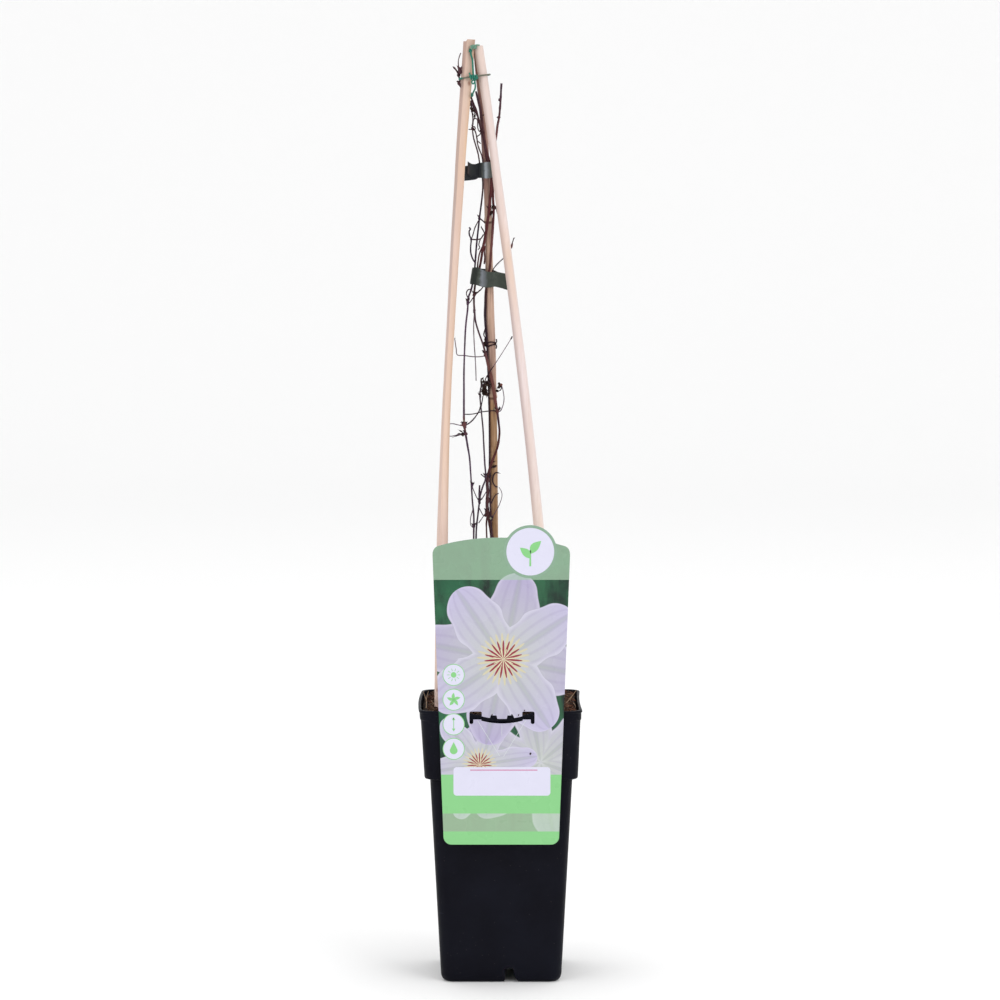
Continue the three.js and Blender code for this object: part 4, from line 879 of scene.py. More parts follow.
@dataclass(frozen=True)
class PicturePrint:
    """The label's front: a plain painted garden picture between a misted header and green bands."""

    name: str = "label_picture"
    header_z: float = 310.0
    band_top: float = 162.5
    strip_top: float = 132.9
    strip_foot: float = 119.2
    blossoms: tuple[Blossom, ...] = (
        Blossom(30, 172, 62, 6, 0.35, 0.46), Blossom(-16, 170, 44, 6, 0.9, 0.46),
        Blossom(2, 250, 66, 4, 0.2, 0.6), Blossom(2, 250, 63, 4, 0.98, 0.62),
    )

    def material(self) -> Material:
        """Builds the material."""
        graph, shader, place = new_material(self.name, 0.3)
        across = graph.in_mm(place)
        height = graph.part(across, 2)
        picture = self.picture(graph, across)
        lime, strip = colour("82c281"), graph.tint(picture, "a9c4a4", 0.66)
        header = graph.math("GREATER_THAN", height, self.header_z)
        face = graph.mix(header, picture, graph.tint(picture, "9dbba0", 0.62))
        for top, band in ((self.band_top, lime), (self.strip_top, strip), (self.strip_foot, lime)):
            face = graph.mix(graph.math("LESS_THAN", height, top), face, band)
        film = graph.noise(place, 60, 2)
        return finished(graph, shader, face, graph.ramp(film, 0.3, 0.7, 0.24, 0.32), film, 0.00006)

    def picture(self, graph: Graph, across: Socket) -> Socket:
        """Paints leaves out of focus, the flowers over them, and their stamens as rings of thin rays."""
        green = graph.mix(graph.patches(across, 0.035, 0.35, 0.65), colour("141a1b"), colour("22583c"))
        green = graph.tint(green, "35704c", graph.streaks(across, (0.5, 1, 0.12), 0.2, 0.45, 0.6)["Mask"], 0.45)
        for i, flower in enumerate(self.blossoms):
            ring = flower.ring(graph, across)
            petal = graph.mix(ring["Out"], colour("b7bcb6"), colour("b6b0cd" if i % 2 else "a9a0c1"))
            veins = graph.math("SINE", graph.times(ring["Side"], 17))
            petal = graph.tint(petal, "9388ab", graph.ramp(veins, 0.2, 1, 0, 0.22))
            petal = graph.tint(petal, "8a9a86", graph.ramp(ring["Side"], 0.16, 0, 0, 0.3))
            petal = graph.tint(petal, "d2cee0", ring["Edge"], 0.5)
            green = graph.tint(green, "46504f", graph.ramp(ring["Mask"], 0, 0.4), 0.35)
            green = graph.mix(ring["Mask"], green, petal)
        for x, z, reach in ((2, 250, 20), (-16, 170, 13)):
            for count, size, tone in ((26, 1, "c6bfa2"), (19, 0.72, "8c2f40"), (11, 0.4, "d3cfae")):
                rays = Blossom(x, z, reach * size, count, 0.3 * count, 0.11).ring(graph, across)
                green = graph.tint(green, tone, rays["Mask"])
        return green


# ------------------------------------------------------------------ the pot


def square_ring(z: float, half: float, corner: float, per_corner: int = 10, per_side: int = 20) -> list[Vector]:
    """A rounded square ring of points, counter-clockwise seen from above."""
    ring = []
    side = half - corner
    for quarter in range(4):
        middle = (quarter + 0.5) * TAU / 4
        centre = Vector((math.copysign(side, math.cos(middle)), math.copysign(side, math.sin(middle)), z))
        for step in range(per_corner + 1):
            angle = (quarter + step / per_corner) * TAU / 4
            ring.append(centre + corner * Vector((math.cos(angle), math.sin(angle), 0)))
        turn = (quarter + 1) * TAU / 4
        run = Vector((-math.sin(turn), math.cos(turn), 0))
        start = ring[-1].copy()
        ring.extend(start + run * (2 * side * step / per_side) for step in range(1, per_side))
    return ring


@dataclass
class Pot:
    """The tall square pot: tapering body, collar, stepped lip, dipped front rim, channelled foot."""

    foot_half: float = 45.2
    top_half: float = 52.9
    collar_half: float = 57.0
    corner: float = 9.5
    wall: float = 1.6
    floor_z: float = 9.0
    bow_left: float = 1.9
    bow_right: float = 1.4
    dip_depth: float = 3.2
    dip_flat: float = 17.0
    dip_end: float = 27.0
    breadth: float = 1.019
    shift: float = 0.35
    finish: MouldedPlastic = MouldedPlastic("pot_plastic", "0b0b13", "10111a", 0.36, 0.13, gloss=0.06)

    def bow(self, point: Vector) -> Vector:
        """Moves a point with the slightly bowed left and right sides of the pot, a little wider than it is deep."""
        rise = clamp((point.z - COLLAR_FOOT_Z) / (RIM_Z - COLLAR_FOOT_Z))
        depth = max(0.0, 1 - (point.y / RIM_HALF) ** 2)
        reach = abs(point.x / RIM_HALF) ** 3
        most = self.bow_left if point.x < 0 else self.bow_right
        return Vector((point.x * self.breadth + self.shift - most * rise * depth * reach, point.y, point.z))

    def dip(self, point: Vector) -> Vector:
        """Lowers the front rim where it dips."""
        if point.y > -self.top_half:
            return point
        along = clamp((abs(point.x) - self.dip_flat) / (self.dip_end - self.dip_flat))
        depth = self.dip_depth * (0.5 + 0.5 * math.cos(math.pi * along))
        share = smooth(point.z, RIM_Z - 9, RIM_Z - 0.5)
        return point - Vector((0, 0, depth * share))

    def profile(self) -> list[Point]:
        """Height, half width and corner radius of each ring, from the foot up, over the rim and down inside."""
        foot, top, collar, rim = self.foot_half, self.top_half, self.collar_half, RIM_HALF
        rings = []
        for step in range(7):
            angle = step / 6 * TAU / 4
            rings.append((7 * (1 - math.cos(angle)), foot - 4.4 + 4.4 * math.sin(angle), 7 + 2.5 * step / 6))
        rings += [(z, foot + (top - foot) * (z - 7) / (COLLAR_FOOT_Z - 8), self.corner) for z in range(18, 157, 12)]
        rings += [(156.8, top, 9.5), (157.1, top + 0.5, 9.5), (157.3, collar - 1.6, 9.5), (157.6, collar - 0.8, 9.5),
                  (158.2, collar - 0.25, 9.5), (159.2, collar, 9.5)]
        rings += [(z, collar + (rim - 1.3 - collar) * (z - 159.2) / 43.3, 9.5) for z in (170, 181, 192, 202.2)]
        rings += [(RIM_Z - dz, rim - inset, 9.5) for dz, inset in (
            (8, 1.25), (7.7, 0.95), (7.4, 0.75), (6.8, 0.68), (3.0, 0.62), (2.3, 0.6), (2.05, 0.45), (1.9, 0.12),
            (1.6, 0.0), (0.8, 0.0), (0.4, 0.08), (0.12, 0.3), (0.0, 0.6), (0.0, 1.2), (0.12, 1.6), (0.5, 1.9),
            (1.2, 2.0),
        )]
        inner = self.wall
        lean = (rim - 2.0 - collar + inner) / (RIM_Z - 162)
        rings += [(z, collar - inner + lean * (z - 161), 8) for z in (200, 180, 161)]
        rings += [(157, top - inner, 8), (80, 49.0 - inner, 8), (self.floor_z + 2, foot - inner, 8)]
        return rings

    def build(self) -> None:
        """Makes the pot."""
        shell = Shell()
        rings = [[self.dip(self.bow(p)) for p in square_ring(*ring)] for ring in self.profile()]
        shell.rings(rings)
        pot = shell.make("moulded_pot", [self.finish.material()])
        cut(pot, [self.recess(), *self.channels(), *self.drains()])
        recalculate(pot)
        sharpen(pot, 50)
        settle(pot, "pot_plastic", "pot")

    def recess(self) -> Object:
        """The hollow under the raised floor."""
        shell = Shell()
        shell.rings([square_ring(-1, self.foot_half - 8, 16), square_ring(self.floor_z, self.foot_half - 7, 16)])
        return shell.make("recess_cutter", [])

    def channels(self) -> list[Object]:
        """The drainage channel in the foot of each side."""
        made = []
        outline = [(2.2, -1), (13.9, -1), (12.7, 1.4), (11.2, 4), (10.2, 7), (9.7, 9.6), (9, 10.9), (8, 11.3),
                   (4.4, 11), (3.4, 10.6), (3.1, 9.4), (3, 2.6), (2.7, 0.8)]
        for side in range(4):
            turn = Matrix.Rotation(side * TAU / 4, 3, "Z")
            shell = Shell()
            shell.rings([[turn @ Vector((x, y, z)) for x, z in outline] for y in (-22, -52)])
            made.append(shell.make("channel_cutter", []))
        return made

    def drains(self) -> list[Object]:
        """The round holes through the floor."""
        made = []
        for hole in range(5):
            angle = (hole + 0.5) * TAU / 4
            reach = 24 * math.sqrt(2) if hole < 4 else 0
            centre = Vector((math.cos(angle) * reach, math.sin(angle) * reach, 0))
            shell = Shell()
            shell.sweep([centre + Vector((0, 0, z)) for z in (6, 9, 13)], taper(3.5, 3.5), 24)
            made.append(shell.make("drain_cutter", []))
        return made


# ------------------------------------------------------------------ the compost


def random_value(
    graph: Graph, low: object, high: object, seed: Socket, step: int = 0, vector: bool = False,
) -> Socket:
    """A Random Value node's number, or its vector. Each step gives other values from the same seed."""
    first, kind = (0, "FLOAT_VECTOR") if vector else (2, "FLOAT")
    own = graph.math("ADD", seed, step) if step else seed
    node = graph.add("FunctionNodeRandomValue", {"Seed": own}, data_type=kind)
    graph.feed(node.inputs[first], low)
    graph.feed(node.inputs[first + 1], high)
    return node.outputs[0 if vector else 1]


def shaken(graph: Graph, geometry: Socket, reach: Point, scale: float, variant: float | None = None) -> Socket:
    """Moves the points of a geometry by a noise, up to half its reach each way."""
    feeds = {"Vector": graph.out("GeometryNodeInputPosition"), "Scale": scale}
    if variant is not None:
        feeds["W"] = variant
    shake = graph.add("ShaderNodeTexNoise", feeds, noise_dimensions="3D" if variant is None else "4D")
    shift = graph.stretched(graph.vector("SUBTRACT", shake.outputs["Color"], (0.5, 0.5, 0.5)), reach)
    return graph.out("GeometryNodeSetPosition", {"Geometry": geometry, "Offset": shift})


def scattered(graph: Graph, given: Sockets, **feeds: object) -> Socket:
    """Puts instances on the open faces of the ground."""
    open_faces = graph.out("GeometryNodeInputNamedAttribute", {"Name": "open"}, data_type="FLOAT")
    spread = graph.add("GeometryNodeDistributePointsOnFaces", {
        "Mesh": given["Geometry"], "Selection": graph.math("GREATER_THAN", open_faces, 0.5),
        "Density": given["Density"], "Seed": given["Seed"],
    })
    return graph.out("GeometryNodeInstanceOnPoints", {"Points": spread.outputs["Points"], **feeds})


def tinted(graph: Graph, given: Sockets, placed: Socket) -> Socket:
    """Gives each instance a tint of its own and makes it real."""
    tint = random_value(graph, 0.0, 1.0, given["Seed"], 3)
    feeds = {"Geometry": placed, "Name": "tint", "Value": tint}
    stored = graph.out("GeometryNodeStoreNamedAttribute", feeds, data_type="FLOAT", domain="INSTANCE")
    return graph.out("GeometryNodeRealizeInstances", {0: stored})


@functools.cache
def chips_tree() -> Tree:
    """Scatters angular chips over the open faces of a surface, each with a tint of its own."""
    inputs = {
        "Geometry": "Geometry", "Density": 30000.0, "Smallest": 0.001, "Largest": 0.004, "Flatness": 0.4,
        "Sink": 0.3, "Seed": 1, "Material": "Material",
    }
    graph, given, out = new_group(LITTER_TREE, "bark chips", inputs, {"Geometry": "Geometry"})
    seed = given["Seed"]
    shapes = graph.add("GeometryNodeJoinGeometry")
    for variant in range(5):
        feeds = {"Size": (1, 1, 1), "Vertices X": 3, "Vertices Y": 2, "Vertices Z": 2}
        block = graph.add("GeometryNodeMeshCube", feeds).outputs["Mesh"]
        rough = shaken(graph, block, (1.5, 1.5, 1.5), 1.3, variant * 3.1)
        graph.feed(shapes.inputs[0], graph.out("GeometryNodeGeometryToInstance", {0: rough}))
    reach = random_value(graph, given["Smallest"], given["Largest"], seed)
    breadth = graph.times(reach, random_value(graph, 0.35, 0.8, seed, 1))
    size = graph.out("ShaderNodeCombineXYZ", {0: reach, 1: breadth, 2: graph.times(reach, given["Flatness"])})
    turn = random_value(graph, (-0.5, -0.5, 0.0), (0.5, 0.5, TAU), seed, 2, True)
    feeds = {"Instance": shapes.outputs[0], "Pick Instance": True, "Rotation": turn, "Scale": size}
    placed = scattered(graph, given, **feeds)
    drop = graph.out("ShaderNodeCombineXYZ", {2: graph.times(graph.times(reach, given["Sink"]), -1.0)})
    feeds = {"Instances": placed, "Translation": drop, "Local Space": False}
    real = tinted(graph, given, graph.out("GeometryNodeTranslateInstances", feeds))
    feeds = {"Geometry": real, "Material": given["Material"]}
    graph.feed(out["Geometry"], graph.out("GeometryNodeSetMaterial", feeds))
    return graph.tree


@functools.cache
def fibres_tree() -> Tree:
    """Scatters bent fibres over the open faces of a surface, each with a tint of its own."""
    inputs = {
        "Geometry": "Geometry", "Density": 30000.0, "Shortest": 0.004, "Longest": 0.012, "Radius": 0.0002,
        "Lift": 0.35, "Seed": 1, "Material": "Material",
    }
    graph, given, out = new_group(LITTER_TREE, "fibres", inputs, {"Geometry": "Geometry"})
    feeds = {"Resolution": 8, "Start": (-0.5, 0, -0.12), "Middle": (0.0, 0.12, 0.3), "End": (0.5, 0, -0.1)}
    bow = graph.out("GeometryNodeCurveQuadraticBezier", feeds)
    lift = graph.out("ShaderNodeCombineXYZ", {0: given["Lift"], 1: given["Lift"], 2: TAU})
    turn = random_value(graph, graph.stretched(lift, (-1.0, -1.0, 0.0)), lift, given["Seed"], 2, True)
    reach = random_value(graph, given["Shortest"], given["Longest"], given["Seed"])
    real = tinted(graph, given, scattered(graph, given, Instance=bow, Rotation=turn, Scale=reach))
    bent = shaken(graph, real, (0.006, 0.006, 0.002), 160.0)
    section = graph.out("GeometryNodeCurvePrimitiveCircle", {"Resolution": 3, "Radius": given["Radius"]})
    tubes = graph.out("GeometryNodeCurveToMesh", {"Curve": bent, "Profile Curve": section, "Fill Caps": True})
    feeds = {"Geometry": tubes, "Material": given["Material"]}
    graph.feed(out["Geometry"], graph.out("GeometryNodeSetMaterial", feeds))
    return graph.tree


def grow(name: str, ground: Object, tree: Tree, **values: object) -> Object:
    """Makes a piece from a Geometry Nodes tree run on a surface.

    Args:
        name: the new piece's name.
        ground: the surface that the tree reads.
        tree: the tree.
        **values: its named inputs.

    Returns:
        The piece, a plain mesh.
    """
    made = added(name, ground.data.copy())
    modifier = made.modifiers.new(name, "NODES")
    modifier.node_group = tree
    sockets = {item.name: item.identifier for item in tree.interface.items_tree if item.in_out == "INPUT"}
    for key, value in values.items():
        modifier[sockets[key]] = value
    bake_modifiers(made)
    return made


@dataclass
class Compost:
    """The root ball: dark peat with bark chips, crumbs and fibres, a little below the rim, and a few stray stalks."""

    level: float = 208.7
    relief: float = 0.6
    front_drop: float = 3.0
    rim_half: float = 57.2
    corner: float = 7.9
    rings: int = 60
    pot: Pot = field(default_factory=Pot)

    def height(self, x: float, y: float) -> float:
        """Height of the surface at a place: gentle lumps, and lower behind the dip in the front rim."""
        lumps = math.sin(x * 0.21 + 1.3) * math.cos(y * 0.17) + 0.6 * math.sin(x * 0.53 + y * 0.47)
        front = self.front_drop * smooth(-y, 34, 54) * (1 - smooth(abs(x), 22, 36))
        return self.level + 0.008 * y + self.relief * lumps - front

    def crumble(self, x: float, y: float) -> float:
        """The finer unevenness of the surface."""
        coarse, fine = Vector((x * 0.24, y * 0.24, 3.1)), Vector((x * 0.8, y * 0.8, 8.3))
        return 0.7 * noise.noise(coarse) + 0.45 * noise.noise(fine)

    def ground(self) -> Object:
        """Makes the solid ball of peat, its top marked as open."""
        shell = Shell()
        rings = [square_ring(z, half, self.corner, 7, 24) for z, half in ((11.3, 43.2), (157, 50.7), (161, 54.6))]
        for step in range(self.rings):
            shrink = 1 - step / self.rings
            ring = square_ring(0, self.rim_half * shrink, max(self.corner, 26 * (1 - shrink)) * shrink, 7, 24)
            for point in ring:
                point.z = self.height(point.x, point.y) + self.crumble(point.x, point.y) * clamp(step / 3)
                point.z -= 1.6 * clamp(1 - step / 4)
            rings.append(ring)
        shell.rings([[self.pot.bow(p) for p in ring] for ring in rings])
        ground = shell.make("compost_ground", [Peat("peat", "120c0b", "2b1b16", "5a4030").material()])
        marks = ground.data.attributes.new("open", "FLOAT", "FACE")
        for polygon, mark in zip(ground.data.polygons, marks.data):
            x, y, z = polygon.center / MM
            mark.value = float(z > 200 and max(abs(x), abs(y)) < 54.8)
        return ground

    def build(self) -> None:
        """Makes the ball and what lies in its surface."""
        ground = self.ground()
        bark = Peat("bark_chip", "1a100d", "37221b", "6c4837", tinted=True).material()
        fibre = Peat("fibre", "21140f", "4e3126", "a68d74", tinted=True).material()
        pieces = [
            grow("compost_bark", ground, chips_tree(), Density=42000.0, Smallest=0.0022, Largest=0.0062,
                 Flatness=0.42, Sink=0.12, Seed=4, Material=bark),
            grow("compost_crumbs", ground, chips_tree(), Density=260000.0, Smallest=0.0006, Largest=0.0019,
                 Flatness=0.8, Sink=0.1, Seed=9, Material=bark),
            grow("compost_fibres", ground, fibres_tree(), Density=95000.0, Shortest=0.004, Longest=0.014,
                 Radius=0.00013, Lift=0.55, Seed=5, Material=fibre),
        ]
        settle(ground, "compost", "compost")
        for piece in (*pieces, self.strays(fibre)):
            settle(piece, "compost")

    def strays(self, finish: Material) -> Object:
        """Makes the few stalks that stand up in the corners and the crumbs that stick to the label."""
        shell = Shell()
        for radius, points in (
            (0.3, ((-56.6, -31, 208.6), (-57, -12, 212), (-58.4, -4, 215), (-59.4, 0, 217.2))),
            (0.26, ((-57, -12, 212), (-56.2, -4, 214.8), (-55.4, 0, 217.6))),
            (0.34, ((49.4, -10, 208.8), (53, -6, 212.4), (56, -2, 215.6), (58.2, 0, 218.4))),
            (0.26, ((49.6, -16, 208.8), (52, -24, 209.6), (54.6, -33, 209.4))),
            (0.3, ((55.6, -8, 209.2), (56.4, -20, 209.8), (57, -30, 209))),
            (0.26, ((-19.8, -52, 208.4), (-16, -51.6, 208), (-12, -51, 206.4))),
            (0.24, ((-49, -20, 208.8), (-52, -14, 210.6), (-53.6, -2, 210.8))),
        ):
            path = spline([Vector(p) for p in points], 1)
            shell.sweep(path, taper(radius, radius * 0.5), 8, lumps=0.4, seed=points[0][0])
        for x, z, size in ((22.3, 178.4, 0.9), (13.4, 207.8, 0.6), (17.8, 211.2, 0.5), (-35.6, 205, 0.4)):
            shell.lump(Vector((x, -61.5, z)), (size * 0.7, 0.4, size), Vector((0.3, 0, 1)), rough=0.5, seed=x)
        strays = shell.make("compost_strays", [finish])
        marks = strays.data.attributes.new("tint", "FLOAT", "FACE")
        for polygon, mark in zip(strays.data.polygons, marks.data):
            mark.value = 0.1 if polygon.center.y / MM < -61 else 0.95
        return strays


# ------------------------------------------------------------------ the canes


@dataclass
class Stake:
    """A wooden stake, round or with rounded flats, sawn off at its top."""

    name: str
    node: str
    points: tuple[Point, ...]
    half_widths: Rows
    sawn_top: Rows
    finish: TurnedWood
    half_depth: float = 0.0
    squareness: float = 2.0
    turn: float = 0.0
    sides: int = 40

    def section(self) -> list[Flat]:
        """The section's points, as shares of its half width and half depth."""
        corners = []
        for i in range(self.sides):
            angle, power = TAU * i / self.sides, self.squareness
            reach = (abs(math.cos(angle)) ** power + abs(math.sin(angle)) ** power) ** (-1 / power)
            corners.append((reach * math.cos(angle + self.turn), reach * math.sin(angle + self.turn)))
        span = max(x for x, _ in corners)
        return [(x / span, y / span) for x, y in corners]

    def build(self) -> None:
        """Makes the stake."""
        shell = Shell()
        path = spline([Vector(p) for p in self.points], 5)
        section = self.section()
        rings = []
        for axis in path:
            wander = 1 + 0.02 * noise.noise(Vector((axis.z * 0.05, self.turn, 2.0)))
            across = by_height(self.half_widths, axis.z) * wander
            deep = (self.half_depth or across) * wander
            rings.append([axis + Vector((x * across, y * deep, 0)) for x, y in section])
        shell.rings(rings, run=[p.z * 0.1 for p in path])
        stake = shell.make(self.name, [self.finish.material()])
        blade = Shell()
        waste = [*self.sawn_top, (self.sawn_top[-1][0], 730), (self.sawn_top[0][0], 730)]
        blade.prism(waste, -12, 12)
        cut(stake, [blade.make("saw_cut", [])])
        sharpen(stake, 40)
        settle(stake, "stake_wood", self.node)


@dataclass
class BackCane:
    """The bamboo cane, with a swollen, grooved ring at each node and a hollow top."""

    points: tuple[Point, ...]
    nodes: tuple[float, ...] = (292.0, 442.0, 577.0)
    radii: Rows = (
        (130, 3.1), (400, 3.05), (452, 2.95), (475, 3.25), (520, 3.2), (556, 2.75), (661, 2.65), (690, 2.9),
        (705, 2.9),
    )

    def radius(self, z: float) -> float:
        """Radius at a height: a groove under each node and a swelling on it."""
        size = by_height(self.radii, z)
        for node in self.nodes:
            away = z - node
            size += 0.42 * math.exp(-(away / 1.7) ** 2) - 0.3 * math.exp(-((away + 1.9) / 0.7) ** 2)
            size += 0.16 * math.exp(-(away / 9) ** 2)
        return size

    def build(self) -> None:
        """Makes the cane."""
        path = spline(route(self.points), 1.0)
        shell = Shell()
        shell.sweep(path, lambda along, z: self.radius(z), 28, lumps=0.015)
        finish = Bamboo(
            "bamboo",
            # The darker front tones from 616 up are partly the cane's own stain and partly painted shade from the
            # stakes in front.
            front=(
                (210, "7d5a3e"), (340, "9e7a56"), (436, "ad8862"), (446, "ad8d7c"), (475, "aa8b7e"), (490, "b89a8a"),
                (505, "c8a896"), (556, "d2b09a"), (570, "b09282"), (604, "ae8a80"), (616, "9c7b72"), (640, "aa877c"),
                (672, "926a62"), (706, "94654c"),
            ),
            # Painted shade on the cane's left side.
            left=(
                (210, "5e4030"), (340, "7a573e"), (436, "86634a"), (446, "866a5e"), (475, "8a6e66"), (505, "8c7066"),
                (560, "8c7064"), (604, "80625a"), (616, "6c4e4e"), (640, "704e52"), (672, "704c4c"), (706, "785248"),
            ),
            node_heights=self.nodes,
        )
        cane = shell.make("bamboo_cane", [finish.material()])
        bore = Shell()
        top = path[-1]
        lean = (path[-1] - path[-6]).normalized()
        bore.sweep([top - lean * 7, top - lean * 3, top + lean * 3], taper(1.2, 1.3), 20)
        cut(cane, [bore.make("bore_cutter", [])])
        sharpen(cane, 50)
        settle(cane, "bamboo", "cane_back")


# ------------------------------------------------------------------ the vine


class Part(Enum):
    """The material slots of a stem."""

    BARK = 0
    SHOOT = 1
    DEAD = 2
    TIP = 3
    PALE = 4


@dataclass(frozen=True)
class Knob:
    """A swelling on a stem: its place, its half lengths and its tip about the front-to-back axis."""

    x: float
    z: float
    forward: float
    size: Point
    tip: float = 0.0
    part: Part = Part.BARK


@dataclass(frozen=True)
class Bud:
    """A scaly bud: its base, its length and where it points, in turns from straight up towards +X."""

    x: float
    z: float
    forward: float
    length: float
    heading: float
    part: Part = Part.SHOOT


@dataclass(frozen=True)
class Scrap:
    """A withered leaf: its base, length, width, heading in turns from straight up towards +X, and curl."""

    x: float
    z: float
    forward: float
    length: float
    width: float
    heading: float
    curl: float


@dataclass
class Stem:
    """One bare stem with its shoots, buds and withered leaves, fused in one piece."""

    name: str
    node: str
    radii: Rows
    main: tuple[Point, ...]
    shoots: tuple[tuple[float, tuple[Point, ...]], ...]
    knobs: tuple[Knob, ...]
    buds: tuple[Bud, ...]
    scraps: tuple[Scrap, ...]
    bark: Bark

    def build(self) -> None:
        """Makes the stem."""
        shell = Shell()
        seed = float(len(self.main))
        path = spline(route(self.main), 1.1)
        shell.sweep(path, girth(self.radii), 18, Part.BARK.value, ribs=5, rib_depth=0.05, twist=3, lumps=0.1, seed=seed)
        for i, (radius, points) in enumerate(self.shoots):
            thin = radius < 0.6
            part = Part.PALE if radius < 0.4 else Part.SHOOT if thin else Part.BARK
            shell.sweep(spline(route(points), 0.7), taper(radius, radius * 0.9), 10 if thin else 14, part.value,
                        ribs=0 if thin else 5, rib_depth=0.05, twist=1, lumps=0.2, seed=seed + i)
        for i, knob in enumerate(self.knobs):
            self.swell(shell, knob, seed + i * 3.3)
        for bud in self.buds:
            self.scale_bud(shell, bud)
        for i, scrap in enumerate(self.scraps):
            self.wither(shell, scrap, i)
        stem = shell.make(self.name, [self.bark.material(), shoot_bark(), dead_matter(), bud_tip(), pale_shoot()])
        settle(stem, "vine_bark", self.node)

    def swell(self, shell: Shell, knob: Knob, seed: float) -> None:
        """Adds a knobbly swelling."""
        centre = route([(knob.x, knob.z, knob.forward)])[0]
        axis = Vector((math.sin(knob.tip), 0, math.cos(knob.tip)))
        shell.lump(centre, knob.size, axis, knob.part.value, 0.28, seed)

    def scale_bud(self, shell: Shell, bud: Bud) -> None:
        """Adds a pointed bud of three overlapping scales."""
        base = route([(bud.x, bud.z, bud.forward)])[0]
        heading = TAU * bud.heading
        axis = Vector((math.sin(heading), -0.25, math.cos(heading))).normalized()
        for scale in range(3):
            reach = bud.length * (0.5, 0.4, 0.28)[scale]
            lean = Vector((0.18 * (scale - 1), 0.12 * (1 - scale), 0))
            width = bud.length * (0.2, 0.24, 0.25)[scale]
            size, seed = (width, width, reach), bud.x + scale
            shell.lump(base + axis * reach * 0.9, size, axis + lean, bud.part.value, 0.12, seed, 0.75)

    def wither(self, shell: Shell, scrap: Scrap, number: int) -> None:
        """Adds a curled, crumpled scrap of leaf."""
        base = route([(scrap.x, scrap.z, scrap.forward)])[0]
        rng = random.Random(number * 17 + round(scrap.x * 10))
        heading = TAU * scrap.heading
        path = [base]
        steps = 14
        for step in range(steps):
            heading += scrap.curl / steps + rng.uniform(-0.12, 0.12)
            way = Vector((math.sin(heading), 0.35 * math.sin(step * 0.6 + number), math.cos(heading)))
            path.append(path[-1] + way.normalized() * scrap.length / steps)
        shell.sweep(
            path, lambda along, z: scrap.width * (0.12 + math.sin(math.pi * along ** 0.8)) * 0.5, 12, Part.DEAD.value,
            flat=0.16, twist=0.35 * (-1) ** number, lumps=0.5, seed=scrap.z,
        )


@functools.cache
def dead_matter() -> Material:
    """The material of withered leaves and dead bud scales."""
    return Dried("withered", "1c1110", "40302a").material()


@functools.cache
def bud_tip() -> Material:
    """The material of the few buds that are still pale and green."""
    return Dried("bud_tip", "7c7e68", "a9ab94").material()


@functools.cache
def shoot_bark() -> Material:
    """The material of thin shoots and tendrils."""
    tones = (
        (188, "3a2a30"), (420, "3a2a34"), (450, "35242a"), (560, "3c2629"), (620, "442a2e"), (680, "4a2d32"),
        (705, "553840"),
    )
    return Bark("shoot_bark", tones, "7c6b70", 0.15, 4.0).material()


@functools.cache
def pale_shoot() -> Material:
    """The material of the finest tendrils, bleached by the weather."""
    tones = ((188, "66545f"), (430, "6a5866"), (480, "74606a"), (705, "5a4648"))
    return Bark("pale_shoot", tones, "9a8d98", 0.3, 4.0).material()


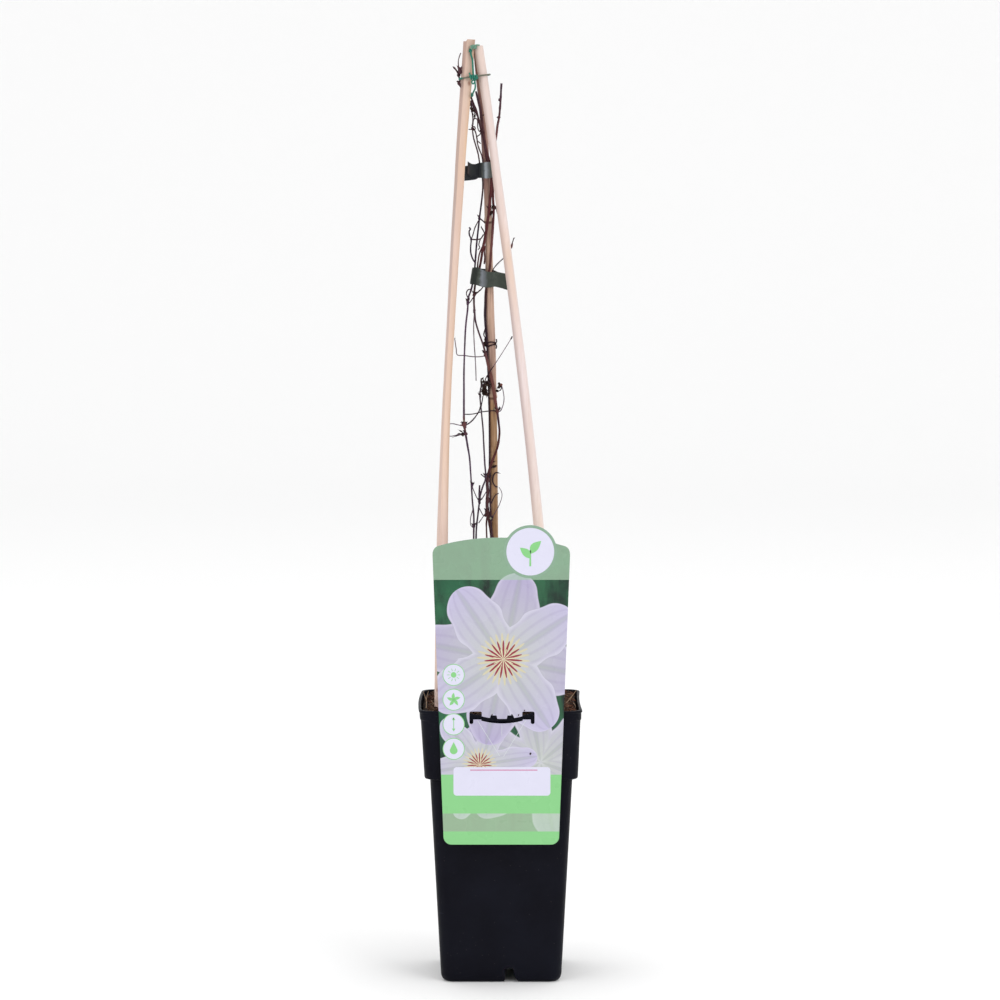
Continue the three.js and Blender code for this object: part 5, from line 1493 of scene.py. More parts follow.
def left_stem() -> Stem:
    """The stem in the open to the left, with a big node low down."""
    return Stem(
        "vine_left", "stem_left",
        radii=(
            (188, 0.85), (340, 0.7), (378, 0.6), (395, 0.65), (415, 0.85), (432, 0.82), (450, 0.72), (478, 0.62),
            (500, 0.68), (560, 0.7), (600, 0.65), (623, 0.55), (666, 0.5),
        ),
        main=(
            (-16.5, STEM_FOOT_Z, 23), (-17.5, 212, 22), (-19.5, 260, 16.5), (-21, 300, 12), (-20.8, 334, 9.4),
            (-20.8, 351, 9), (-21.7, 361, 9), (-23.2, 385, 9), (-24, 396, 9), (-25.5, 405, 9), (-27, 414, 9),
            (-28, 421, 9), (-28.2, 433, 9), (-28.2, 448, 9), (-28.1, 463, 9), (-27.6, 480, 9), (-26.7, 497, 8.8),
            (-25.2, 511, 8.5), (-25, 517.5, 8.3), (-22.7, 524, 8), (-21.3, 530, 7.6), (-20.3, 537, 7),
            (-19.5, 545, 6.7), (-18.3, 560, 6.6), (-16.2, 579, 6.6), (-14.3, 594, 6.6), (-13.6, 604, 6.5),
            (-14.3, 613, 6.3), (-16.1, 621.4, 6.2), (-17.2, 627.9, 6.2), (-18.9, 633.9, 6.2), (-20.7, 640.2, 6.2),
            (-21.4, 647, 6.2), (-21.1, 655, 6.2), (-22, 661, 6.2), (-22.4, 666, 6.2),
        ),
        shoots=(
            (0.36, ((-28, 420, 9), (-30.5, 420.4, 9.6), (-33, 421, 11), (-36, 422.2, 17), (-39.4, 423.4, 35))),
            (0.36, ((-27, 414, 9), (-30, 413.6, 10), (-34, 413.2, 14), (-37, 413.2, 23), (-39.8, 414, 35))),
            (0.5, ((-28, 421, 9), (-25.6, 421.3, 9), (-22, 424, 8.9), (-18.7, 428, 8.7), (-16.6, 431.5, 8.6),
                   (-15, 437, 8.5))),
            (0.38, ((-22.2, 374, 9), (-20.6, 369.6, 8.9), (-18.8, 365.4, 8.7), (-17.4, 362.8, 8.4))),
            (0.36, ((-21.5, 355, 9), (-23.1, 349.2, 9), (-23.3, 344.8, 9), (-22.6, 342.4, 9), (-20.9, 342.4, 9.1))),
            (0.42, ((-22.4, 525, 8), (-25, 524.4, 8.2), (-26.2, 521.9, 8.3), (-25.6, 519.4, 8.3), (-24.8, 518, 8.3))),
            (0.42, ((-25, 514, 8.4), (-23.8, 514.6, 8.4), (-21.8, 517.4, 7.8), (-20.6, 519.2, 7.2))),
            (0.55, ((-16.2, 579, 6.6), (-14.9, 578, 6.8), (-12.9, 576.3, 6.8), (-12, 575.2, 6.8))),
            (0.42, ((-16.4, 578, 6.6), (-19.5, 572.2, 6.8), (-21.3, 566, 7), (-22.5, 563, 7))),
            (0.62, ((-19.5, 545, 6.7), (-21.1, 547.5, 7), (-22.6, 551.5, 7), (-23, 556.5, 7), (-22.6, 563, 7),
                    (-23.9, 566.4, 7), (-24, 569.2, 7), (-23.1, 570.8, 7), (-24.2, 572, 7))),
            
            (0.5, ((-22.6, 563, 7), (-19, 562.7, 6.9), (-15.2, 563.5, 7.1), (-13.5, 566, 7.1), (-12.5, 567, 7.1),
                   (-13.5, 570, 7.1), (-14.5, 571.5, 7.1))),
            (0.42, ((-15.2, 563.5, 7.1), (-16.2, 561.2, 7), (-16.7, 558.4, 7), (-16, 556.8, 7), (-17.2, 555, 6.9))),
            (0.42, ((-20.8, 647, 6.2), (-22.4, 646.2, 6.4), (-24.4, 646.4, 6.6))),
            (0.42, ((-21, 650, 6.4), (-20.8, 653, 7), (-19.9, 654.4, 7.6), (-18.5, 654.4, 8), (-17.6, 653, 8.2),
                    (-17.5, 650, 8.3), (-17.4, 647.6, 8.4), (-16.8, 645.6, 8.5), (-15.8, 644.4, 8.6))),
            (0.7, ((-23, 668, 6.6), (-21, 663.8, 6.8), (-19.2, 659.8, 6.8), (-17.5, 656, 6.6))),
            (0.55, ((-14, 611, 6.3), (-13.4, 618, 7.8), (-14.3, 626, 7.8), (-16.4, 631.5, 7.6), (-17.5, 635, 7.4),
                    (-18.2, 640.2, 7), (-19.3, 644.6, 6.8), (-20.8, 647.2, 6.4))),
            
            (0.42, ((-18.2, 640.9, 7.4), (-16.6, 641.8, 8), (-15.4, 643, 8.2), (-15.3, 644.6, 8.4),
                    (-15.8, 645.8, 8.5))),
            (0.42, ((-18, 637.8, 7.2), (-16.6, 636.8, 7.8), (-15.2, 635.4, 8))),
            (0.5, ((-20.7, 648.6, 7), (-21.9, 647.8, 7), (-21.9, 646.4, 7), (-20.7, 645.7, 7), (-19.5, 646.4, 7),
                   (-19.5, 647.8, 7), (-20.7, 648.6, 7.1))),
            
            (0.42, ((-24.4, 664.8, 7), (-23.4, 665.2, 7.2), (-22.4, 663.6, 7.2), (-21.6, 661.4, 7),
                    (-20.2, 660.2, 7.2), (-19.7, 658, 7.4), (-19.6, 655.6, 7.6))),
        ),
        knobs=(
            Knob(-27.9, 421.4, 9, (2.1, 1.3, 2.1)), Knob(-27.6, 419.4, 9, (1.3, 1, 2)),
            Knob(-26.9, 413.8, 9, (1.6, 1.2, 1.4)), Knob(-21.9, 374.5, 9, (1.0, 0.9, 2.0), 0.1),
            Knob(-20.8, 342.5, 9.2, (1.3, 1, 1.6)), Knob(-25.1, 515, 8.4, (1.2, 0.95, 2.6)),
            Knob(-16.3, 578.8, 6.6, (1, 0.9, 1.6)), Knob(-20.8, 647, 6.1, (0.6, 0.6, 0.8), 0, Part.SHOOT),
            Knob(-21.8, 660.6, 6.3, (0.9, 0.8, 1.4), 0.3), Knob(-23.3, 665.2, 6.9, (1, 0.8, 1.3), 0.4, Part.DEAD),
            Knob(-22, 661.8, 7, (1.1, 0.8, 1.7), -0.4, Part.DEAD),
            Knob(-20.3, 660.3, 7.1, (1.3, 0.8, 1.1), 0.2, Part.DEAD),
            Knob(-19.7, 656.4, 7.4, (0.8, 0.7, 1.5), 0.1, Part.DEAD), Knob(-22.6, 563, 7, (0.8, 0.7, 1.1)),
            Knob(-30, 420.5, 9.4, (1.2, 0.6, 0.6), 0.2),
        ),
        buds=(
            Bud(-28.8, 422, 9.6, 2.6, -0.1), Bud(-26.8, 422, 9.6, 2.4, 0.12), Bud(-27.4, 415.2, 9.8, 3, -0.12),
            Bud(-22.3, 375.4, 9.6, 3, -0.07), Bud(-21.3, 375, 9.6, 2.6, 0.09), Bud(-20.2, 343.4, 9.7, 2.8, 0.1),
            Bud(-21.3, 343.2, 9.7, 2.6, -0.1), Bud(-25.6, 516, 9, 3, -0.07), Bud(-24.7, 516.4, 9, 2.8, 0.08),
            Bud(-16.6, 580, 7.1, 2.6, -0.1), Bud(-21.2, 648.4, 6.8, 2.2, -0.1),
            Bud(-20.8, 657.2, 6.8, 2.6, -0.08, Part.DEAD), Bud(-28.1, 423.4, 9.9, 1.9, -0.02, Part.TIP),
            Bud(-29.2, 422, 9.6, 2.2, -0.18),
        ),
        scraps=(
            Scrap(-27.4, 413.8, 9.4, 7.4, 3, -0.24, 0.1), Scrap(-30.4, 413.8, 9.4, 8.2, 2.4, -0.27, -0.3),
            Scrap(-29, 415, 9.3, 5, 1.2, -0.17, 0.5), Scrap(-28, 413.4, 9.5, 4, 2.4, -0.3, 0.4),
            Scrap(-39.2, 411.8, 34.6, 3.2, 1.2, -0.2, 0.8), Scrap(-39, 422, 34.6, 2.6, 1.0, -0.3, -0.7),
            Scrap(-14.4, 571.4, 7.1, 2.4, 1.1, -0.1, 1.2),
        ),
        bark=Bark(
            "bark_left",
            ((188, "4a3740"), (340, "4c3746"), (400, "56405a"), (411, "56405a"), (416, "6a4444"), (425, "6a4444"),
             (430, "5c455c"), (500, "583f56"), (520, "443040"), (556, "301f34"), (590, "341f30"), (612, "54383c"),
             (666, "44303a")),
            "8a7c90", 0.4,
        ),
    )


def inner_stem() -> Stem:
    """The short stem that ends in a dark clump of withered leaf in front of the back cane."""
    return Stem(
        "vine_inner", "stem_inner", radii=((188, 0.8), (452, 0.58)),
        main=(
            (-13.5, STEM_FOOT_Z, 20.5), (-14, 212, 19.5), (-16.5, 260, 13.5), (-18.6, 300, 9.2), (-19, 333.5, 6.9),
            (-18.4, 344, 6.9), (-17.4, 352.5, 6.9), (-16.4, 361, 6.9), (-16, 365, 6.9), (-15, 369, 6.9),
            (-13.6, 373.5, 7.2), (-11.9, 378, 7.9), (-11.6, 382, 8), (-12.2, 390.5, 7.5), (-12.8, 401, 7),
            (-13.6, 417, 7), (-14.8, 430.5, 7), (-15.4, 436, 6.8), (-15.9, 445, 6.2), (-14.6, 450.5, 5.8),
            (-12.4, 452.3, 5.4),
        ),
        shoots=(
            (0.75, ((-16.4, 361, 6.9), (-16.5, 366.5, 6.9), (-16.2, 374, 6.9))),
            (0.38, ((-16.9, 357, 6.9), (-15.4, 354, 6.9), (-13.8, 351, 6.9), (-13.2, 350.2, 6.9))),
            (0.42, ((-13.6, 443, 5.9), (-14.3, 438.5, 6.4), (-15.2, 433.5, 6.9))),
            (0.55, ((-14.7, 450.6, 5.8), (-15, 453, 5.8), (-14.9, 456.5, 5.9))),
            (0.42, ((-12.6, 452.5, 5.6), (-11.4, 456.5, 6.4), (-9.6, 459.8, 6.9), (-8, 462.2, 7), (-5.6, 465.8, 7))),
            (0.3, ((-5.6, 465.8, 7), (-3.4, 469, 6.9), (3.1, 479.2, 7.2), (7, 485.6, 8.4), (8.6, 488.4, 9.6))),
            (0.42, ((-13, 452, 5.8), (-10.6, 454.4, 6.4), (-8.6, 452.6, 6.6), (-8.2, 449.6, 6.4), (-9.6, 447.4, 6.2),
                    (-11.8, 447.2, 6))),
        ),
        knobs=(
            Knob(-16.4, 361, 6.9, (1.1, 0.95, 1.9)), Knob(-12.4, 449.5, 5.4, (1.6, 1.0, 3.2), 0.3, Part.DEAD),
            Knob(-11.6, 446.6, 5.2, (1.4, 0.8, 3), -0.3, Part.DEAD),
            Knob(-12.9, 444.6, 5.4, (1.6, 0.8, 1.4), 0.7, Part.DEAD),
            Knob(-11.2, 451.6, 5.2, (1.2, 0.8, 2.2), 0.8, Part.DEAD), Knob(-14.6, 451, 5.8, (0.9, 0.8, 1.7), 0.2),
            Knob(-15.7, 442.5, 6.3, (0.8, 0.8, 2.2), 0.1), Knob(-11.7, 381, 8, (0.9, 0.8, 1.8)),
        ),
        buds=(
            Bud(-16.9, 362.4, 7.4, 3, -0.08), Bud(-15.9, 362.2, 7.4, 2.8, 0.09), Bud(-12.2, 382, 8.5, 2.6, -0.1),
            Bud(-11.2, 382.2, 8.5, 2.4, 0.1), Bud(-16.2, 443.6, 6.8, 2.6, -0.09),
            Bud(-14.8, 453, 6, 3.4, -0.02, Part.DEAD), Bud(7.7, 486.8, 9.4, 2.6, 0.09),
        ),
        scraps=(
            Scrap(-12.8, 451.6, 5.4, 8, 3.4, 0.42, 1.6), Scrap(-12.2, 451, 5.9, 7, 3.2, 0.55, -1.4),
            Scrap(-13.4, 449, 5.6, 6, 3, 0.3, 2.2), Scrap(-11.8, 447.6, 5.3, 6.4, 2.8, 0.6, 1.1),
            Scrap(-12.4, 445, 5.6, 5.2, 2.4, 0.36, -1.8), Scrap(-11.6, 452.4, 5.3, 4.6, 2, 0.16, 1.5),
            Scrap(8.2, 488, 9.6, 1.8, 1.3, 0.1, 0.4), Scrap(-12, 448.4, 5.8, 6.2, 3.4, 0.5, 0.6),
            Scrap(-13.8, 452.4, 5.6, 5, 1.8, 0.04, -0.6), Scrap(-12.7, 446, 5.2, 4.4, 2.6, 0.8, 1.3),
            Scrap(-10.4, 450.6, 5.6, 4.4, 2.2, 0.3, -1.6), Scrap(-14.4, 455.4, 5.9, 3.2, 1.4, 0.05, 0.9),
            Scrap(-10.6, 444.2, 5.2, 3.6, 1.6, 0.45, 1.2),
        ),
        bark=Bark("bark_inner", ((188, "43323c"), (350, "4e3d4c"), (430, "4a3844"), (452, "35252b")), "8c8494", 0.35),
    )


def main_stem() -> Stem:
    """The thickest stem, with a second base, forks and the branch right of the right cane."""
    return Stem(
        "vine_main", "stem_main",
        radii=(
            (188, 1.35), (350, 1.35), (380, 1.15), (392, 0.92), (417, 0.8), (431, 0.9), (444, 1.3), (459, 1.3),
            (470, 1.1), (480, 0.75), (493, 0.65), (507, 0.75), (530, 0.8), (545, 0.9), (560, 1.05), (600, 1.05),
            (612, 0.95), (640, 1.05), (662, 0.95), (675, 0.7),
        ),
        main=(
            (-9, STEM_FOOT_Z, 14.5), (-8.5, 212, 13.5), (-7, 260, 8.6), (-6.5, 300, 5.6), (-6.8, 333, 5),
            (-8, 342, 5), (-9.5, 350.5, 5), (-10.5, 357, 5), (-10.3, 364, 5), (-10, 369, 5), (-10.4, 375.5, 5),
            (-10.1, 380, 5.1), (-8.7, 386, 5.4), (-6.7, 392, 5), (-4.1, 398.5, 4.8), (-2, 405.5, 4.8), (-1, 415, 4.6),
            (-1.6, 422, 4.6), (-2.7, 431, 4.6), (-3.9, 438, 4.7), (-4.9, 444, 4.8), (-5.9, 450, 4.8),
            (-7.6, 459, 4.9), (-9.8, 467.5, 5), (-11.6, 475, 5), (-13.3, 481.5, 5), (-17.4, 493.5, 5),
            (-19.4, 501, 5), (-20, 507, 5), (-20.5, 515, 4.9), (-20.3, 521, 4.7), (-19.4, 529, 4.6), (-18, 535, 4.6),
            (-16.1, 541.5, 4.6), (-14.8, 548.5, 4.6), (-13.6, 556, 4.6), (-11.6, 566, 4.6), (-10.2, 576, 4.6),
            (-8.8, 585, 4.6), (-7.9, 595, 4.6), (-7.2, 603, 4.6), (-7.3, 612, 4.6), (-9, 623, 4.4), (-11, 631, 4.3),
            (-12.7, 640, 4.3), (-13.6, 648, 4.3), (-14.5, 655, 4.3), (-15.7, 662, 4.3), (-17.3, 668.5, 4.3),
            (-18.9, 675, 4.3),
        ),
        shoots=(
            (0.7, ((-12, STEM_FOOT_Z, 13.5), (-12, 212, 12), (-11.6, 260, 8), (-11, 300, 6), (-10.8, 333, 5.3),
                   (-11, 345, 5), (-10.2, 352, 5))),
            (0.42, ((-10.3, 379, 5.1), (-12, 379.8, 5.3), (-15.3, 382.4, 5.4))),
            (0.42, ((-8, 388, 5.3), (-6, 387.4, 4), (-4.6, 387.9, 3.8), (-3, 389, 3.8))),
            (0.38, ((-10.1, 369.6, 5), (-11.2, 368.6, 5.1), (-13, 365.6, 5.2), (-14.8, 362.6, 5.1))),
            (0.38, ((-10.6, 354, 5), (-12.9, 350.4, 4.9), (-15.3, 346.9, 4.9), (-17, 344.4, 4.8))),
            (0.36, ((-2.7, 431, 4.6), (-0.6, 431, 4.6), (1.4, 434.6, 4.6), (2.5, 439.6, 4.6), (2.1, 445, 4.4),
                    (0.4, 451.2, 4.2), (-0.8, 452, 4))),
            (0.42, ((0.4, 451.2, 4.2), (0.6, 448.8, 4.3), (-0.6, 447, 4.3), (-2.6, 446.4, 4.2), (-4.8, 446.4, 4.6))),
            (0.42, ((-2.7, 430.6, 4.6), (-5, 431.4, 5), (-9.1, 431.2, 5.2), (-12.5, 430.8, 5.2), (-15.6, 430.4, 5.2),
                    (-18.6, 429.5, 5.6), (-21.6, 429, 6.6), (-24.4, 428.8, 7.4), (-27.8, 429, 8.6))),
            
            (0.38, ((-11.6, 474, 5), (-14, 473.3, 5.2), (-18.7, 473, 5.8), (-23.5, 473.4, 6.8), (-28, 474.1, 7.4),
                    (-33, 474.6, 9.5), (-34, 479.7, 15), (-35, 487.5, 21))),
            
            (0.39, ((-20.1, 508, 5), (-20.7, 497, 5.4), (-20.3, 483, 5.6), (-19.6, 473, 5.8), (-19.1, 463, 5.8),
                    (-18.9, 454.7, 5.8))),
            
            (0.42, ((-20, 519.5, 4.8), (-18.4, 521.6, 5), (-15, 524.8, 6.2), (-11, 530, 7.2), (-7.5, 536, 7.2),
                    (-5.4, 540.6, 6.8), (-3.6, 543, 6.8), (-1.3, 545.4, 6.8), (2.5, 549, 7), (8, 556.6, 7.4),
                    (8.6, 559.6, 7.6), (9.4, 562, 7.7), (10, 564, 7.8))),
            (0.62, ((-12.6, 544, 4.4), (-12.2, 548, 4.5), (-12.4, 553, 4.6), (-12.2, 558, 4.6))),
            (0.62, ((-17.6, 533, 4.8), (-17.8, 540, 4.8), (-17.3, 546, 4.8), (-16.2, 552, 4.8), (-14.2, 557, 4.7))),
            (0.88, ((-8.1, 620, 4.5), (-5.6, 628, 6.4), (-3.4, 641, 8), (-2.6, 648, 7.9), (-1.2, 656, 7.6),
                    (-0.3, 666, 7), (0.5, 681, 6.2))),
        ),
        knobs=(
            Knob(-10.6, 352.5, 5, (1.6, 1.3, 2.6)), Knob(-11.6, 350.4, 5, (1, 0.8, 1.3), 0.4),
            Knob(-10.2, 378.5, 5.1, (1.6, 1.25, 3.0)), Knob(-10.2, 362, 5, (1.5, 1.3, 4)),
            Knob(-2.6, 431, 4.7, (1.4, 1.2, 1.9)), Knob(-11.7, 475, 5, (1.3, 1.1, 2), 0.3),
            Knob(-20.3, 520.5, 4.8, (1.2, 1, 2)), Knob(-20.2, 508.5, 5, (1, 0.9, 2.2)),
            Knob(-8.9, 586, 4.7, (1.2, 1, 1.9)), Knob(-0.9, 668.6, 7, (1.05, 0.9, 1.2), 0.1),
            Knob(8.4, 558, 7.5, (0.8, 0.7, 2.2), 0.2), Knob(0.4, 451.4, 4.2, (1.1, 0.7, 1), 0.4),
            Knob(-1.4, 655.4, 7.6, (1.15, 0.95, 1.2)), Knob(-7.3, 582.8, 4.7, (1, 0.8, 2), 0.2, Part.DEAD),
            Knob(-13.2, 477, 5.2, (0.7, 0.6, 1.4), -0.7), Knob(-2.9, 446.5, 4.3, (1.3, 0.6, 0.8), 0.2, Part.DEAD),
            Knob(-1.3, 452.4, 4.2, (1, 0.7, 0.9), 0, Part.DEAD),
            Knob(-0.9, 450.3, 4.2, (1.3, 0.7, 1.8), 0.2, Part.DEAD),
            Knob(-7.8, 348.4, 8.4, (0.75, 0.6, 0.85), 0, Part.TIP),
        ),
        buds=(
            Bud(-11.2, 354, 5.5, 3.2, -0.09), Bud(-10, 354.2, 5.5, 3, 0.08), Bud(-10.8, 380, 5.6, 3, -0.08),
            Bud(-9.4, 380.2, 5.6, 3, 0.1), Bud(-3.2, 432.4, 5.1, 2.8, -0.1), Bud(-2, 432, 5.1, 3.6, 0.14),
            Bud(-1.4, 433, 5, 2.4, 0.06), Bud(-12.6, 476, 5.4, 3.2, -0.1), Bud(-11, 476.4, 5.4, 2.6, 0.06),
            Bud(-19.8, 521.4, 5, 3.8, 0.17), Bud(-20.8, 522, 5.2, 2.6, -0.08), Bud(-9.6, 587, 5, 2.4, -0.12),
            Bud(-8.2, 587.2, 5, 2.4, 0.12), Bud(-2, 654.8, 7.7, 1.8, -0.16), Bud(-14.6, 656.4, 4.7, 2.4, -0.12),
            Bud(-13.4, 656.6, 4.7, 2.2, 0.1), Bud(-4.9, 432.2, 5.8, 1.6, -0.05, Part.TIP),
            Bud(-16.8, 523.6, 5.6, 2.6, 0.2),
        ),
        scraps=(
            Scrap(-3, 388.8, 3.8, 5, 2.4, -0.3, 0.6), Scrap(-1.6, 446.6, 4.3, 4.4, 1.9, -0.2, 0.8),
            Scrap(9.8, 563.4, 7.8, 1.8, 0.9, 0.08, 0.4), Scrap(-34.9, 487, 21, 2.4, 0.9, -0.02, 0.8),
            Scrap(0.2, 451.6, 4.1, 3.4, 1.5, -0.15, -1.2), Scrap(-6.8, 588.4, 4.9, 4.2, 2.4, 0.27, 1.1),
            Scrap(-7, 586.6, 4.9, 3.8, 2.2, 0.23, -1.2), Scrap(-4.6, 388.4, 4, 3.6, 1.6, -0.25, -0.6),
            Scrap(-1, 450, 4.3, 3.2, 1.6, -0.4, 1.0), Scrap(-7.6, 391.4, 4.4, 5.4, 1.8, 0.2, 0.2),
        ),
        bark=Bark(
            "bark_main",
            ((188, "4a3236"), (350, "5a3634"), (372, "4c3236"), (390, "5a2e2c"), (412, "5a2e2c"), (418, "4c3242"),
             (427, "4c3242"), (430, "6c403c"), (435, "6c403c"), (446, "744840"), (468, "6c4440"), (482, "5a4048"),
             (500, "54404a"), (530, "50302f"), (560, "5c2c2e"), (604, "602c2e"), (616, "6c4042"), (642, "744648"),
             (654, "5e3c42"), (675, "463240")),
            "93787a", 0.3,
        ),
    )


def side_stem() -> Stem:
    """The stem that runs up the back cane's left side and crosses behind the left cane at the top."""
    return Stem(
        "vine_side", "stem_side",
        radii=(
            (188, 0.65), (370, 0.65), (470, 0.6), (490, 0.8), (505, 0.9), (530, 0.95), (600, 0.95), (640, 0.85),
            (691, 0.6),
        ),
        main=(
            (-5.6, STEM_FOOT_Z, 19), (-5.6, 212, 18), (-5.8, 260, 12.6), (-6.4, 300, 9), (-7.2, 333, 7.8),
            (-7.2, 341, 7.6), (-7.4, 348, 6.8), (-8.1, 357, 4.9), (-8.2, 365, 4), (-8.2, 373, 3.6), (-8.4, 380, 3),
            (-8.7, 387, 2.8), (-8.7, 393, 2.6), (-8.6, 401, 2.6), (-8.7, 416, 2.6), (-8.9, 431, 2.5),
            (-9.2, 441, 2.4), (-9.4, 449, 2.3), (-9.6, 457, 2.3), (-10, 467, 2.4), (-10.3, 478, 2.4),
            (-10.9, 487, 2.2), (-11.6, 495, 1.7), (-12.1, 505, 1.5), (-11.8, 513, 2.3), (-11.6, 520, 2.7),
            (-11.1, 526, 3.4), (-10.2, 534, 4.2), (-8.3, 541.5, 4.3), (-7.5, 551, 4.2), (-6.6, 564, 4),
            (-5.9, 574, 3.2), (-5.4, 583, 2.4), (-5.8, 592, 2.2), (-6, 600, 2.6), (-5.3, 606, 3.8),
            (-4.8, 611.5, 6.2), (-6.6, 617, 7.6), (-10.4, 623.5, 7.3), (-11.9, 632, 7.1), (-13.1, 639, 7),
            (-14.7, 645, 6.6), (-15.8, 649.6, 6.5), (-17.2, 655.6, 6.4), (-18.7, 661, 6.4), (-20.4, 665, 6.3),
            (-22.4, 670, 5.6), (-25.4, 675, 4.9), (-28.6, 679.5, 4.4), (-31, 683.8, 2.9), (-31.8, 686.8, 4.4),
            (-32, 688.8, 7.2), (-30.9, 690.8, 9.6),
        ),
        shoots=(
            (0.3, ((-7.4, 349, 6.6), (-5.6, 350.6, 5.5), (-2.4, 355.8, 4), (-0.4, 360.2, 2.7), (0.8, 364, 1.9),
                   (0.9, 367.2, 1.6), (-0.1, 370, 1.8), (-1.4, 372, 2.2))),
            
            (0.52, ((-2.4, 372.3, 3.4), (-3.8, 372.7, 3.9), (-5.2, 374.3, 4), (-6.2, 376.9, 3.9), (-6, 379.7, 3.9),
                    (-5, 382.3, 3.9), (-3.6, 383.5, 3.9), (-1.8, 383.3, 3.6))),
            (0.42, ((-7.7, 359, 4.6), (-6.2, 362.4, 4.1), (-4.4, 365.8, 3.9), (-1.6, 367.4, 3))),
            (0.42, ((-10.5, 458, 2), (-9.4, 456, 3.4), (-8.6, 453, 3.5))),
            (0.5, ((-13, 484, 2.2), (-11.4, 483.4, 1.9), (-9.4, 484, 3.5), (-7.2, 484.2, 3.75), (-4.6, 483.8, 2.9),
                   (-3.2, 484, 1.2), (-3.4, 486.4, 0.4))),
            
            (0.5, ((-10.9, 480, 1.8), (-9.4, 481, 3.4), (-6.8, 481.9, 3.75), (-4.5, 482.3, 2.6), (-3.2, 481.2, 1.2),
                   (-3.6, 479, 0.4))),
            (0.42, ((-11, 482, 1.8), (-12.8, 480.4, 2.4), (-12.4, 477.8, 2.4), (-11, 476.6, 1.8))),
            (0.5, ((-11.2, 486.5, 1.6), (-12.9, 489.4, 2), (-12.4, 492.8, 1.8), (-11.8, 494.4, 1.4))),
            (0.42, ((-5.2, 586, 2.3), (-3.6, 587, 2.8), (-3.2, 592, 2.9), (-4, 597.4, 2.6), (-4.6, 600, 2.1))),
            (0.42, ((-4.6, 586.8, 2.5), (-3.6, 586.6, 2.8), (-2.8, 583.6, 3), (-1.5, 579, 3.2))),
            (0.7, ((-31.6, 686.8, 4.6), (-32.8, 689.4, 7), (-33.8, 691, 8.2), (-34.8, 692.2, 8.6))),
            (0.42, ((-30.9, 690.8, 9.6), (-31.8, 693.5, 9), (-32.1, 697, 8.8), (-31.3, 701, 8.8),
                    (-30.2, 703.8, 8.8))),
            (0.62, ((-30.5, 682.6, 3.4), (-32.6, 682.4, 7.6), (-32.9, 682.3, 11), (-32.2, 681.8, 12.8))),
        ),
        knobs=(
            Knob(-7.1, 347.6, 7, (1, 0.9, 1.4)), Knob(-8.2, 381, 2.9, (0.9, 0.8, 1.8)),
            Knob(-5.2, 587, 2.4, (1.6, 1.1, 2.3)), Knob(-11, 482.5, 1.9, (1, 0.9, 2.6)),
            Knob(-30.8, 690.4, 9.7, (1.5, 1, 2.5), -0.2, Part.SHOOT),
            Knob(-31.7, 687.4, 5.6, (1.3, 1, 1.8), 0.3, Part.SHOOT), Knob(-14.4, 645.6, 6.6, (0.9, 0.8, 1.5), 0.5),
            Knob(-12.6, 482.6, 2.1, (1.3, 0.8, 1.8), 0.3, Part.DEAD),
            Knob(-11.6, 485.6, 2, (1, 0.8, 1.6), -0.4, Part.DEAD),
        ),
        buds=(
            Bud(-6.6, 348.6, 7.3, 2.8, 0.08), Bud(-7.6, 348.6, 7.3, 2.6, -0.08), Bud(-8.6, 382.4, 3.1, 2.4, -0.08),
            Bud(-5.4, 588, 2.9, 2.6, -0.06), Bud(-11.4, 484, 2.2, 2.8, -0.08), Bud(-31.2, 691.4, 9.9, 4, -0.08),
            Bud(-30.4, 691.6, 9.9, 3.2, 0.08), Bud(-14.8, 646.6, 6.8, 2.2, -0.12), Bud(-32.1, 681.8, 12.8, 5.4, 0.42),
            Bud(-34.4, 691.6, 8.6, 3.2, -0.1),
        ),
        scraps=(
            Scrap(-5, 482.8, 3.5, 3, 1.4, 0.2, 1.0), Scrap(-34.8, 692, 8.6, 2.8, 1.2, -0.1, -0.8),
            Scrap(-2, 383, 3.7, 2.2, 1, 0.2, 0.9), Scrap(-12.8, 483.6, 2.4, 3.6, 1.8, 0.4, 1.4),
            Scrap(-11.4, 480.6, 2.4, 3.4, 1.6, 0.15, -1.2), Scrap(-31.2, 688.4, 8.4, 3.4, 1.8, 0.1, 1.2),
        ),
        bark=Bark(
            "bark_side",
            ((188, "45303a"), (440, "3c262e"), (484, "2c1c2a"), (510, "30202a"), (522, "4a2c2e"), (536, "6e443f"),
             (562, "764843"), (574, "5c2c2e"), (606, "5c2c2e"), (614, "563436"), (640, "4e3036"), (691, "4c2f34")),
            "8f7c84", 0.3,
        ),
    )


# ------------------------------------------------------------------ the ties


